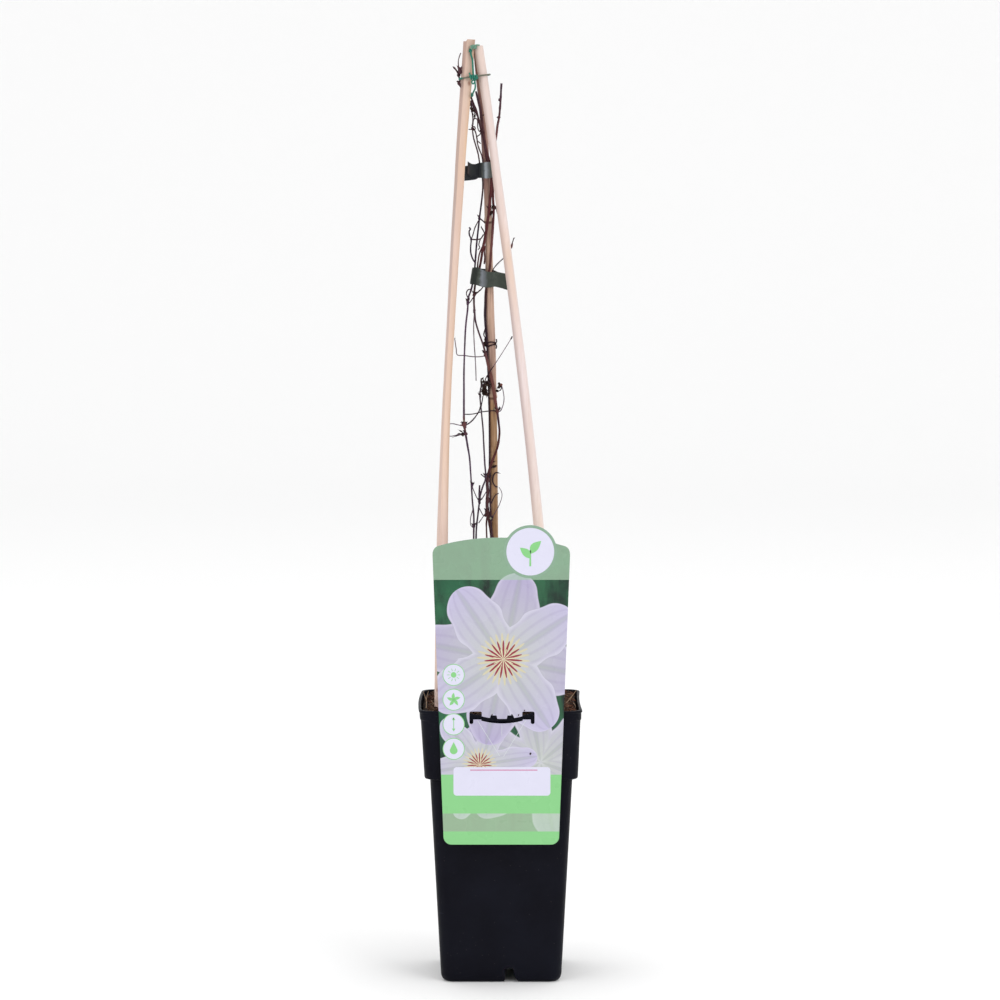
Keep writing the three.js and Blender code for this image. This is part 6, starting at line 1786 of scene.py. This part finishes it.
@dataclass
class Tape:
    """A strip of tying tape between the line of its foot and the line of its top edge, softly creased.

    A crease runs from one place to another, each given as a number of points along and a share of the way up.
    """

    name: str
    node: str
    foot: tuple[Point, ...]
    top: tuple[Point, ...]
    creases: tuple[tuple[float, float, float, float, float], ...]
    tones: Tones
    thickness: float = 0.6
    steps: int = 12
    rows: int = 14

    def build(self) -> None:
        """Makes the tape."""
        low = spline([Vector(p) for p in self.foot], 1, self.steps)
        high = spline([Vector(p) for p in self.top], 1, self.steps)
        rings = []
        for i, (below, above) in enumerate(zip(low, high)):
            out = way_at(low, i).cross(above - below).normalized()
            ring = []
            for side in (-1, 1):
                for row in range(self.rows + 1):
                    share = row / self.rows if side < 0 else 1 - row / self.rows
                    edge = 1 - 0.7 * abs(2 * share - 1) ** 12
                    shift = self.relief(i / self.steps, share)
                    ring.append(below.lerp(above, share) + out * (side * edge * self.thickness / 2 + shift))
            rings.append(ring)
        shell = Shell()
        shell.rings(rings, run=[i / self.steps for i in range(len(rings))])
        settle(shell.make(self.name, [TyingTape(self.name, self.tones).material()]), "tie_tape", self.node)

    def relief(self, number: float, share: float) -> float:
        """How far the strip stands out at a place: soft ripples and its creases."""
        shift = 0.14 * noise.noise(Vector((number * 1.1, share * 2.6, self.thickness + len(self.tones))))
        here = Vector((number * 4, share * 12))
        for first, low, last, high, depth in self.creases:
            start, run = Vector((first * 4, low * 12)), Vector(((last - first) * 4, (high - low) * 12))
            along = clamp((here - start).dot(run) / run.length_squared)
            away = (here - start - run * along).length
            shift -= depth * math.exp(-((away / 0.7) ** 2))
        return shift


@dataclass
class WireTie:
    """The coated wire: a loop round the canes, a wound knot, a riser with a bound end, and a tail."""

    radius: float = 0.7

    def build(self) -> None:
        """Makes the wire."""
        shell = Shell()
        for radius, slot, points in self.runs():
            path = spline([Vector(p) for p in points], 0.6)
            shell.sweep(path, taper(radius, radius), 14, slot, lumps=0.05, seed=points[0][0])
        for centre, axis, reach, turns, radius, slot in self.windings():
            path = self.coil(centre, axis, reach, turns)
            shell.sweep(path, taper(radius, radius), 12, slot, lumps=0.05, seed=turns)
        coat = MouldedPlastic("wire_coat", "14604f", "2a7f6b", 0.35, 0.1, 0.00001)
        faded = MouldedPlastic("wire_faded", "66907c", "86a692", 0.5, 0.2, 0.00001)
        worn = MouldedPlastic("wire_worn", "5c5f52", "6c6a5a", 0.5, 0.15, 0.00001)
        wire = shell.make("wire_binding", [finish.material() for finish in (coat, faded, worn)])
        settle(wire, "coated_wire", "wire_tie")

    def runs(self) -> list[tuple[float, int, tuple[Point, ...]]]:
        """Radius, material slot and points of each plain length."""
        left, right = (-31.4, 2.4, 684.2), (-8.3, 1, 687.6)
        r = self.radius
        return [
            (r, 0, (left, (-31, -0.6, 684.3), (-29.6, -3.4, 684.6), (-28.4, -4.3, 684.8))),
            (r * 0.9, 2, (
                (-28.8, -4.2, 684.7), (-27.6, -4.5, 684.9), (-24.6, -4.6, 685.3), (-20.4, -4.7, 685.8),
                (-18.4, -4.7, 686.2),
            )),
            (r * 0.85, 2, ((-19.4, -4.7, 686), (-16, -4.6, 686.6), (-12, -4.2, 687.1), (-9.2, -2.3, 687.5), right,
                           (-8.5, 3, 687.5))),
            (r, 0, (right, (-9, 5, 687.4), (-11.6, 10.9, 687), (-15.8, 13.3, 686.4), (-20, 11.6, 685.8),
                    (-26, 7.4, 685), (-30.4, 4.4, 684.4), left, (-31.3, 0.4, 684.2))),
            (0.6, 0, ((-21.6, -5.2, 686.2), (-23, -5.2, 687.2), (-23.8, -5, 688.8))),
            (r, 0, (
                (-20.6, -5, 686), (-21, -4, 692), (-21.4, -3.5, 698.5), (-22.6, -3.3, 703.4), (-22.2, -3.2, 706.6),
            )),
            (0.5, 1, ((-21, -3.6, 708.2), (-19.6, -3.6, 709.4), (-17.8, -3.4, 709.8), (-15.9, -3.3, 709.4))),
            (0.6, 0, ((-20, -5.2, 684), (-19.3, -4.9, 680.6), (-19.4, -4.7, 677), (-20.8, -4.4, 674),
                      (-21.6, -4.3, 671.6))),
            (0.55, 0, ((-20.8, -5.2, 683.6), (-21.9, -5, 681.8), (-21, -4.9, 680.4), (-19.8, -5, 681.4))),
        ]

    def windings(self) -> list[tuple[Vector, Vector, float, float, float, int]]:
        """Centre, axis vector, reach, turns, wire radius and material slot of each winding."""
        return [
            (Vector((-20.3, -5.2, 685.6)), Vector((6, 0, 0.8)), 1.4, 4, 0.6, 0),
            (Vector((-19.4, -5.5, 684.4)), Vector((1.4, 0, 3.2)), 1.15, 2.5, 0.55, 0),
            (Vector((-20.6, -3.3, 708.2)), Vector((4.4, 0, 0.7)), 1.35, 4, 0.45, 1),
            (Vector((-22.9, -3.5, 705.4)), Vector((0.6, 0, 2.2)), 0.8, 2.5, 0.5, 0),
            (Vector((-21.6, -4.3, 672.2)), Vector((0.5, 0, 2.4)), 0.7, 2.5, 0.45, 0),
        ]

    def coil(self, centre: Vector, axis: Vector, reach: float, turns: float) -> list[Vector]:
        """Points of a loose winding about an axis."""
        side = axis.orthogonal().normalized()
        across = axis.normalized().cross(side)
        count = round(turns * 18)
        points = []
        for i in range(count + 1):
            along = i / count
            angle = TAU * turns * along
            size = reach * (1 + 0.18 * math.sin(angle * 0.7 + turns))
            middle = centre + axis * (along - 0.5)
            points.append(middle + side * math.cos(angle) * size + across * math.sin(angle) * size)
        return points


# ------------------------------------------------------------------ the label


def arc(x: float, z: float, radius: float, start: float, end: float, steps: int) -> list[Flat]:
    """Points of an arc in X and Z, its angles in turns from +X towards +Z."""
    angles = [TAU * (start + (end - start) * i / steps) for i in range(steps + 1)]
    return [(x + radius * math.cos(angle), z + radius * math.sin(angle)) for angle in angles]


def disc(x: float, z: float, radius: float, steps: int = 48) -> list[Flat]:
    """The points of a full circle."""
    return arc(x, z, radius, 0, 1, steps)[:-1]


@dataclass
class Label:
    """The hanging label: a tapering plate with a round badge, a die-cut slot and a hook over the rim."""

    front: float = -61.3
    back: float = -60.7
    foot_z: float = 109.2
    foot_half: float = 43.5
    shoulder_z: float = 329.0
    shoulder_half: float = 51.5
    crown_z: float = 341.8
    corner: float = 6.0
    centre: float = 0.4
    badge: tuple[float, float, float] = (22.1, 331.2, 20.0)

    def outline(self) -> list[Flat]:
        """The plate's outline with the badge's circle standing out of it, counter-clockwise from the foot."""
        c, foot, half = self.centre, self.foot_z, self.foot_half
        lean = (self.shoulder_half - half) / (self.shoulder_z - foot)
        points = arc(c + half - self.corner, foot + self.corner, self.corner, 0.75, 1.0, 8)
        points += [(c + self.shoulder_half, self.shoulder_z - 1)]
        top = self.crown()
        x, z, radius = self.badge
        inside = [math.hypot(px - x, pz - z) < radius for px, pz in top]
        first, last = inside.index(True), len(inside) - 1 - inside[::-1].index(True)
        start = math.atan2(top[first][1] - z, top[first][0] - x) / TAU
        end = math.atan2(top[last][1] - z, top[last][0] - x) / TAU
        points += top[:first] + arc(x, z, radius, start, end, 48) + top[last + 1:]
        points += [(c - self.shoulder_half, self.shoulder_z - 1)]
        points += arc(c - half + self.corner, foot + self.corner, self.corner, 0.5, 0.75, 8)
        shift = lean * self.corner
        return [(px + math.copysign(shift, px - c) * (pz < foot + self.corner + 0.01) * 0.3, pz) for px, pz in points]

    def crown(self) -> list[Flat]:
        """The arched top with its two shoulders, from right to left."""
        c, half, z = self.centre, self.shoulder_half, self.shoulder_z
        corner = self.corner
        handles = [
            ((half, z), (half, z + corner), (half - corner, z + corner + 1)),
            ((half - corner, z + corner + 1), (half / 2, self.crown_z), (0, self.crown_z)),
            ((0, self.crown_z), (-half / 2, self.crown_z), (-half + corner, z + corner + 1)),
            ((-half + corner, z + corner + 1), (-half, z + corner), (-half, z)),
        ]
        points = []
        for (ax, az), (bx, bz), (dx, dz) in handles:
            for i in range(24):
                t = i / 24
                first, second, third = (1 - t) ** 2, 2 * t * (1 - t), t * t
                points.append((c + ax * first + bx * second + dx * third, az * first + bz * second + dz * third))
        return points

    def slot(self) -> list[Flat]:
        """The die-cut slot's outline: two end boxes with a leg each, and a sagging band with two bumps."""
        upper, lower = [], []
        reach = 15.2
        steps = 60
        for i in range(steps + 1):
            x = -reach + 2 * reach * i / steps
            edge = 206.8 - 2 * (1 - (x / reach) ** 2)
            lower.append((x, edge - 3.5))
            bumps = [math.sqrt(2.4**2 - (x - side * 6.3) ** 2) for side in (-1, 1) if abs(x - side * 6.3) < 2.4]
            upper.append((x, max([edge, *(206.3 + b for b in bumps)])))
        right = [(15.5, 203.4), (15.6, 204.3), (21.6, 204.3), (21.6, 201.9), (22.2, 201.1), (23.05, 200.8),
                 (23.9, 201.1), (24.5, 201.9), (24.5, 209.2), (24.1, 210.1), (23.2, 210.4), (16.2, 210.4),
                 (15.4, 210.1), (15.2, 209.2)]
        left = [(-x, z) for x, z in reversed(right)]
        return [(SLOT_CENTRE + x, z) for x, z in lower + right + upper[::-1] + left]

    def plate(self) -> Object:
        """Makes the plate from a filled flat curve, then stands it up."""
        curve = bpy.data.curves.new("label_plate", "CURVE")
        curve.dimensions = "2D"
        curve.fill_mode = "BOTH"
        curve.extrude = (self.back - self.front) / 2 * MM
        for outline in (self.outline(), self.slot()):
            line = curve.splines.new("POLY")
            line.points.add(len(outline) - 1)
            for point, (x, z) in zip(line.points, outline):
                point.co = (x * MM, z * MM, 0, 1)
            line.use_cyclic_u = True
        drawn = added("label_drawn", curve)
        graph = bpy.context.evaluated_depsgraph_get()
        mesh = bpy.data.meshes.new_from_object(drawn.evaluated_get(graph), depsgraph=graph)
        bpy.data.objects.remove(drawn)
        upright = Matrix.Rotation(TAU / 4, 4, "X")
        mesh.transform(Matrix.Translation((0, (self.front + self.back) / 2 * MM, 0)) @ upright)
        with opened(mesh) as work:
            bmesh.ops.remove_doubles(work, verts=work.verts, dist=1e-6)
            bmesh.ops.recalc_face_normals(work, faces=work.faces)
            for part in work.faces:
                part.material_index = 0 if part.normal.y < -0.5 else 1
                part.smooth = False
        return added("hanging_label", mesh)

    def build(self) -> None:
        """Makes the label, its hook, its badge and its plain symbols."""
        paper = PlainPrint("label_paper", "d3d2e4").material()
        green = PlainPrint("label_green", "83c67f").material()
        grey = PlainPrint("label_grey_green", "84a28b").material()
        pink = PlainPrint("label_pink", "c4719a").material()
        line = PlainPrint("label_cut_line", "c9cfd0").material()
        plate = self.plate()
        plate.data.materials.append(PicturePrint().material())
        plate.data.materials.append(paper)
        settle(plate, "label_plastic", "label")
        settle(self.hook(paper), "label_plastic")
        layers = Shell()
        self.symbols(layers)
        settle(layers.make("label_symbols", [paper, green, grey, pink, line], False), "label_plastic")

    def hook(self, finish: Material) -> Object:
        """Makes the tongue that is folded back over the rim."""
        shell = Shell()
        path = spline([Vector((SLOT_CENTRE, y, z)) for y, z in (
            (-60.9, 207.6), (-60.4, 208), (-59.6, 208.1), (-58, 208.1), (-57.2, 207.8), (-57, 207), (-57, 203),
            (-57, 199),
        )], 0.3)
        rings = []
        for i, point in enumerate(path):
            up = Vector((1, 0, 0)).cross(way_at(path, i).normalized())
            half = 7 - 1.6 * smooth(i, len(path) - 14, len(path) - 1) ** 2
            corners = ((-half, -0.28), (half, -0.28), (half, 0.28), (-half, 0.28))
            rings.append([point + Vector((x, 0, 0)) + up * t for x, t in corners])
        shell.rings(rings)
        return shell.make("label_hook", [finish], False)

    def layer(self, shell: Shell, outline: Sequence[Flat], level: int, slot: int) -> None:
        """Adds a printed or raised shape a hair in front of the plate."""
        shell.prism(outline, self.front - 0.05 * level, self.front + 0.02, slot)

    def symbols(self, shell: Shell) -> None:
        """Adds the badge, the four discs, the white panel with its rule, and the crease lines."""
        paper, green, grey, pink, line = range(5)
        x, z, radius = self.badge
        self.layer(shell, disc(x, z, radius, 96), 1, grey)
        self.layer(shell, disc(x, z, radius - 2.1, 96), 2, paper)
        self.sprout(shell, x, z, green)
        for row, height in enumerate((238.2, 219.4, 200.7, 182.1)):
            self.layer(shell, disc(-35.4, height, 8.3), 1, green)
            self.layer(shell, disc(-35.4, height, 7.75), 2, paper)
            (self.sun, self.petals, self.arrow, self.drop)[row](shell, -35.4, height, green)
        panel = []
        for px, pz, start in ((34.9, 149, 0.75), (34.9, 165.7, 0.0), (-33.1, 165.7, 0.25), (-33.1, 149, 0.5)):
            panel += arc(px, pz, 2.5, start, start + 0.25, 6)
        self.layer(shell, panel, 1, paper)
        self.layer(shell, [(-23, 165.6), (27.6, 165.6), (27.6, 166.3), (-23, 166.3)], 2, pink)
        creases = (((-17.4, 203.6), (-0.8, 176.6)), ((18.8, 203.6), (2.1, 176.2)), ((0.8, 200.6), (0.8, 192)))
        for (ax, az), (bx, bz) in creases:
            way = Vector((bx - ax, bz - az)).normalized() * 0.16
            ends = ((ax, az, 1), (bx, bz, 1), (bx, bz, -1), (ax, az, -1))
            self.layer(shell, [(x - way.y * side, z + way.x * side) for x, z, side in ends], 1, line)

    def leaf(
        self, shell: Shell, x: float, z: float, length: float, width: float, heading: float, slot: int, level: int = 3,
    ) -> None:
        """Adds a pointed leaf that starts at x, z and heads the given turns from +X."""
        along = Vector((math.cos(TAU * heading), math.sin(TAU * heading)))
        side = Vector((-along.y, along.x))
        outline = []
        for steps, breadth in ((range(25), 1), (range(23, 0, -1), -0.55)):
            for t in (i / 24 for i in steps):
                away = side * width * breadth * math.sin(math.pi * t**0.85)
                outline.append(Vector((x, z)) + along * length * t + away)
        self.layer(shell, [tuple(p) for p in reversed(outline)], level, slot)

    def sprout(self, shell: Shell, x: float, z: float, slot: int) -> None:
        """A plain seedling: a stalk and two leaves."""
        self.layer(shell, [(x - 0.7, z - 11), (x + 0.7, z - 11), (x + 0.55, z + 1), (x - 0.55, z + 1)], 3, slot)
        self.leaf(shell, x + 0.2, z - 1.5, 12.5, 3.9, 0.14, slot)
        self.leaf(shell, x - 0.2, z - 5, 11, -3.6, 0.37, slot, 4)

    def sun(self, shell: Shell, x: float, z: float, slot: int) -> None:
        """A plain sun."""
        self.layer(shell, disc(x, z, 2.1), 3, slot)
        for ray in range(10):
            angle = TAU * ray / 10
            way = Vector((math.cos(angle), math.sin(angle)))
            side = Vector((-way.y, way.x)) * 0.22
            corners = [way * 3 - side, way * 5 - side, way * 5 + side, way * 3 + side]
            self.layer(shell, [(x + c.x, z + c.y) for c in corners], 3, slot)

    def petals(self, shell: Shell, x: float, z: float, slot: int) -> None:
        """A plain five-petalled flower."""
        for petal in range(5):
            self.leaf(shell, x, z, 5.4, 1.5, petal / 5 + 0.05, slot)

    def arrow(self, shell: Shell, x: float, z: float, slot: int) -> None:
        """A double arrow for height."""
        self.layer(shell, [(x - 0.25, z - 3.4), (x + 0.25, z - 3.4), (x + 0.25, z + 3.4), (x - 0.25, z + 3.4)], 3, slot)
        self.layer(shell, [(x - 1.3, z + 3.2), (x + 1.3, z + 3.2), (x, z + 5.4)], 3, slot)
        self.layer(shell, [(x, z - 5.4), (x + 1.3, z - 3.2), (x - 1.3, z - 3.2)], 3, slot)

    def drop(self, shell: Shell, x: float, z: float, slot: int) -> None:
        """A water drop."""
        outline = arc(x, z - 1.2, 2.9, 0.46, 1.04, 24) + [(x, z + 5.2)]
        self.layer(shell, outline, 3, slot)


# ------------------------------------------------------------------ the studio


@dataclass
class Studio:
    """A pale floor and backdrop, soft lights, and the camera."""

    distance: float = 3.0
    camera_height: float = 0.637
    pitch: float = 5.19
    camera_x: float = -0.00057
    pixels_per_radian: float = 3945.0
    image: float = 1000.0
    aim_height: float = 0.35
    floor_near: float = -60000.0
    bend_start: float = 4000.0
    bend_radius: float = 2000.0
    wall_top: float = 9000.0
    half_width: float = 28000.0

    def build(self) -> None:
        """Makes the stage."""
        self.backdrop()
        self.camera()
        self.lights()

    def camera(self) -> None:
        """Places the camera."""
        lens = bpy.data.cameras.new("camera")
        lens.sensor_width = 36.0
        lens.lens = self.pixels_per_radian / self.image * lens.sensor_width
        lens.clip_end = 100.0
        camera = added("camera", lens)
        camera.location = (self.camera_x, -self.distance, self.camera_height)
        camera.rotation_euler = (math.radians(90 - self.pitch), 0, 0)
        bpy.context.scene.camera = camera

    def backdrop(self) -> None:
        """Makes the floor, curving up into a wall far behind."""
        shell = Shell()
        start, radius, half = self.bend_start, self.bend_radius, self.half_width
        bends = [TAU / 4 * i / 16 for i in range(1, 17)]
        profile = [(self.floor_near, 0.0), (start, 0.0)]
        profile += [(start + radius * math.sin(bend), radius * (1 - math.cos(bend))) for bend in bends]
        profile += [(start + radius, self.wall_top)]
        shell.vertices = [Vector((x, y, z)) for y, z in profile for x in (-half, half)]
        for i in range(len(profile) - 1):
            shell.face((2 * i, 2 * i + 1, 2 * i + 3, 2 * i + 2))
        graph, shader, _ = new_material("pale_floor", 0.3)
        shell.make("floor", [finished(graph, shader, (0.93, 0.93, 0.93, 1), 0.9)])

    def lights(self) -> None:
        """Adds a bright room and three soft boxes."""
        world = bpy.data.worlds.new("room")
        world.use_nodes = True
        colour_in, strength_in = world.node_tree.nodes["Background"].inputs[:2]
        colour_in.default_value, strength_in.default_value = (1, 1, 1, 1), 1.0
        bpy.context.scene.world = world
        bpy.context.scene.view_settings.view_transform = "Standard"
        aim = Vector((0, 0, self.aim_height))
        for name, place, size, power in (
            ("key", (2.2, -2.6, 2.2), 1.8, 30), ("fill", (-2.4, -2.4, 1.6), 1.8, 10),
            ("top", (0.0, 0.4, 3.0), 2.4, 16),
        ):
            lamp = bpy.data.lights.new(name, "AREA")
            lamp.size = size
            lamp.energy = power
            light = added(name, lamp)
            light.location = place
            light.rotation_euler = (aim - Vector(place)).to_track_quat("-Z", "Y").to_euler()


# ------------------------------------------------------------------ the whole


def canes() -> list[Stake | BackCane]:
    """The three canes."""
    return [
        Stake(
            "stake_left", "cane_left",
            points=(
                (-45.2, -33, 130), (-46, -29, 208), (-44.2, -22.3, 341.4), (-42.2, -17.8, 411.8),
                (-40.2, -14.6, 457.1), (-37.7, -11.5, 502.5), (-34.3, -7.3, 562.5), (-31.8, -4.6, 600.3),
                (-30, -2.7, 630.5), (-26.6, 0, 675.9), (-23.6, 1.9, 716),
            ),
            half_widths=(
                (208, 4.4), (341, 4.2), (366, 3.9), (412, 3.35), (457, 3.05), (502, 3.1), (562, 3.5), (630, 3.85),
                (676, 4.25), (713, 4.45),
            ),
            sawn_top=((-32, 712.6), (-26.2, 712.6), (-25.1, 714.1), (-18, 713.7)),
            finish=TurnedWood(
                "stake_wood_left",
                tones=(
                    (200, "dcc4b4"), (350, "e0c8ba"), (400, "d9beac"), (440, "d9bfae"), (520, "d7bfb0"),
                    (580, "d5bdb2"), (622, "d3b8a6"), (668, "d2bbad"), (713, "bfa698"),
                ),
                # Painted shade on the left side.
                left=(
                    (200, "cfb6ab"), (350, "ceb5aa"), (440, "c8afa2"), (510, "bfa7a0"), (575, "b19e97"),
                    (640, "b39a90"), (713, "b09388"),
                ),
                # Painted shade on the right side.
                right=(
                    (200, "c2a694"), (350, "bfa391"), (400, "b99b83"), (440, "c0a08a"), (490, "c7a992"),
                    (530, "c6a895"), (578, "d0b3a0"), (610, "d0b19a"), (636, "d3b08f"), (668, "c8a78c"),
                    (690, "d0ac8e"), (700, "d4b092"), (713, "a98a76"),
                ),
                streak="c6a48f", facet=(0.5, 0.125, 0.012), edge=(0.24, 0.38), knots=(
                    (-48.9, -32, 222.6), (-23.7, -3.2, 681),
                ),
            ),
            half_depth=3.6, squareness=4, turn=0.4,
        ),
        Stake(
            "stake_right", "cane_right",
            points=(
                (44.6, -32.5, 130), (40.6, -28.9, 208), (28.9, -21.9, 345), (18.8, -15.4, 440), (7.2, -9.3, 535),
                (-3.3, -4.2, 613), (-6.35, -2.8, 637), (-13.5, 0.4, 686), (-17.3, 1.5, 711),
            ),
            half_widths=(
                (208, 4.1), (351, 3.9), (366, 3.85), (412, 3.65), (480, 3.7), (517, 3.4), (562, 3.55), (600, 3.5),
                (628, 3.2), (650, 3.2), (672, 3.5), (709, 3.6),
            ),
            sawn_top=((-24, 709.8), (-13.8, 709.4), (-11, 708.4)),
            finish=TurnedWood(
                "stake_wood_right",
                tones=(
                    (200, "e2d0c4"), (345, "eadacd"), (380, "decfca"), (470, "ddcfce"), (515, "dac5bc"),
                    (550, "d6bdad"), (578, "ddccc7"), (625, "daccc9"), (708, "d6c4bc"),
                ),
                # Painted shade on the left side.
                left=(
                    (200, "d0bcb0"), (345, "d8c3b6"), (380, "c2ada8"), (430, "bdaaa8"), (500, "bba9a6"),
                    (560, "c0aaa2"), (640, "c2aea8"), (708, "bda69c"),
                ),
                # Painted shade on the right side.
                right=(
                    (200, "d2c2bc"), (400, "d8cbc8"), (520, "d4c8c4"), (560, "d6cac6"), (640, "d2c5c2"),
                    (708, "d0c0b8"),
                ),
                streak="c9b0a2", facet=(0.56, 0.12, 0.06), edge=(0.34, 0.46),
            ),
        ),
        BackCane((
            (-3.4, 130, 0), (-4.2, 240, 0), (-5.1, 338, 0), (-5.6, 405, 0), (-6.9, 473, 0), (-8.4, 515, 0),
            (-9.3, 571, 0), (-10.6, 608, 0), (-13.8, 661, 0), (-18, 705.5, 0),
        )),
    ]


def tapes() -> list[Tape]:
    """The two tapes: each starts with its rear or right end and goes round the cane and the vine."""
    return [
        Tape(
            "tape_high", "tape_upper",
            foot=(
                (-27.6, 4.9, 607.4), (-23, 5.7, 607.8), (-19.5, 6.7, 608.3), (-18, 9, 608.9), (-17.6, 12, 609.3),
                (-15.6, 16.1, 609.5), (-10.8, 17.9, 609.8), (-5, 16.4, 610.2), (-2.4, 11.5, 610.4), (-2.9, 7, 610.6),
                (-4.9, 4, 610.5), (-7.9, 2.6, 609.6), (-11.2, 2.7, 609.2), (-14.4, 3.9, 609.5), (-16.5, 5.2, 609.9),
                (-19, 4.4, 609.8), (-22.3, 3.5, 610.3), (-25.1, 2.9, 612.6),
            ),
            top=(
                (-27.2, 4.9, 618.6), (-23, 5.7, 619.2), (-19.5, 6.7, 619.8), (-18, 9, 620.4), (-17.6, 12, 620.8),
                (-15.6, 16.1, 621), (-10.8, 17.9, 621.4), (-5, 16.4, 621.7), (-2.4, 11.5, 621.9), (-2.9, 7, 622),
                (-4.9, 4, 622), (-7.9, 2.6, 621.8), (-11.5, 2.7, 621.5), (-14.4, 3.9, 621.2), (-16.7, 5.2, 620.8),
                (-19.2, 4.4, 620.1), (-22.3, 3.5, 620.4), (-25.1, 2.9, 622.2),
            ),
            creases=((13.8, 0.0, 14.1, 1.0, 0.5), (12.6, 0.0, 12.4, 1.0, 0.2)),
            # Painted light on the upper tape: a painted highlight from 11.6 to 12.4 along and painted shade from 13.4
            # to 16.
            tones=(
                (0, "24272d"), (8, "24272b"), (10, "4e5452"), (11.2, "5e6460"), (11.6, "747a7e"), (11.85, "98a0a6"),
                (12.15, "98a0a6"), (12.4, "50565a"), (12.9, "3a3f3e"), (13.4, "24282c"), (14.2, "12141c"),
                (15.4, "12141c"), (16, "1c2022"), (16.7, "2e2a2c"), (17, "4a4040"),
            ),
        ),
        Tape(
            "tape_low", "tape_lower",
            foot=(
                (10, 8, 523.6), (4, 8.6, 524.7), (-0.3, 9.1, 526.1), (-4.5, 9.6, 526.9), (-9.1, 9, 526.2),
                (-14.6, 8.4, 526.9), (-19, 9.2, 528.3), (-22.2, 10.2, 528.7), (-23.4, 12.6, 528.9),
                (-21.6, 17, 528.6), (-14.6, 21.2, 528), (-8.8, 23.2, 527.4), (-4.9, 21.4, 526.9), (-3.4, 17, 526.5),
                (-1.2, 12.2, 526.1), (4, 10.1, 524.9), (10, 9.5, 523.8),
            ),
            top=(
                (10, 8, 535.9), (3.8, 8.6, 536.7), (-0.6, 9.2, 537.6), (-4.5, 9.6, 538.1), (-9.1, 9, 538.3),
                (-14, 8.4, 539.8), (-18, 9.2, 541.6), (-20.4, 10.2, 541.5), (-21.5, 12.6, 541.4), (-20, 17, 541),
                (-14.2, 21.2, 540.3), (-8.8, 23.2, 539.7), (-4.9, 21.4, 539), (-3.4, 17, 538.4), (-1.2, 12.2, 537.8),
                (4, 10.1, 536.9), (10, 9.5, 536.1),
            ),
            creases=((3.0, 1.0, 3.5, 0.45, 0.65), (2.4, 0.85, 3.5, 0.45, 0.6), (5.7, 0.0, 5.9, 1.0, 0.4)),
            # Painted light on the lower tape: a painted highlight from 4.8 to 5.2 along and painted shade from 6.1 to
            # 7.5.
            tones=(
                (0, "373d37"), (2, "3b423b"), (3.2, "485049"), (4.3, "424842"), (4.8, "6e7378"), (5.2, "868b94"),
                (5.6, "4a504a"), (6.1, "2a2e2c"), (7.5, "262a28"), (9, "333833"), (16, "383d38"),
            ),
        ),
    ]


def main() -> None:
    """Builds the plant and its stage."""
    logging.basicConfig(level=logging.INFO, format="%(name)s %(message)s")
    Studio().build()
    Pot().build()
    Compost().build()
    for cane in canes():
        cane.build()
    for stem in (left_stem(), inner_stem(), main_stem(), side_stem()):
        stem.build()
    for tape in tapes():
        tape.build()
    WireTie().build()
    Label().build()
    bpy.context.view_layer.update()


if __name__ == "__main__":
    main()
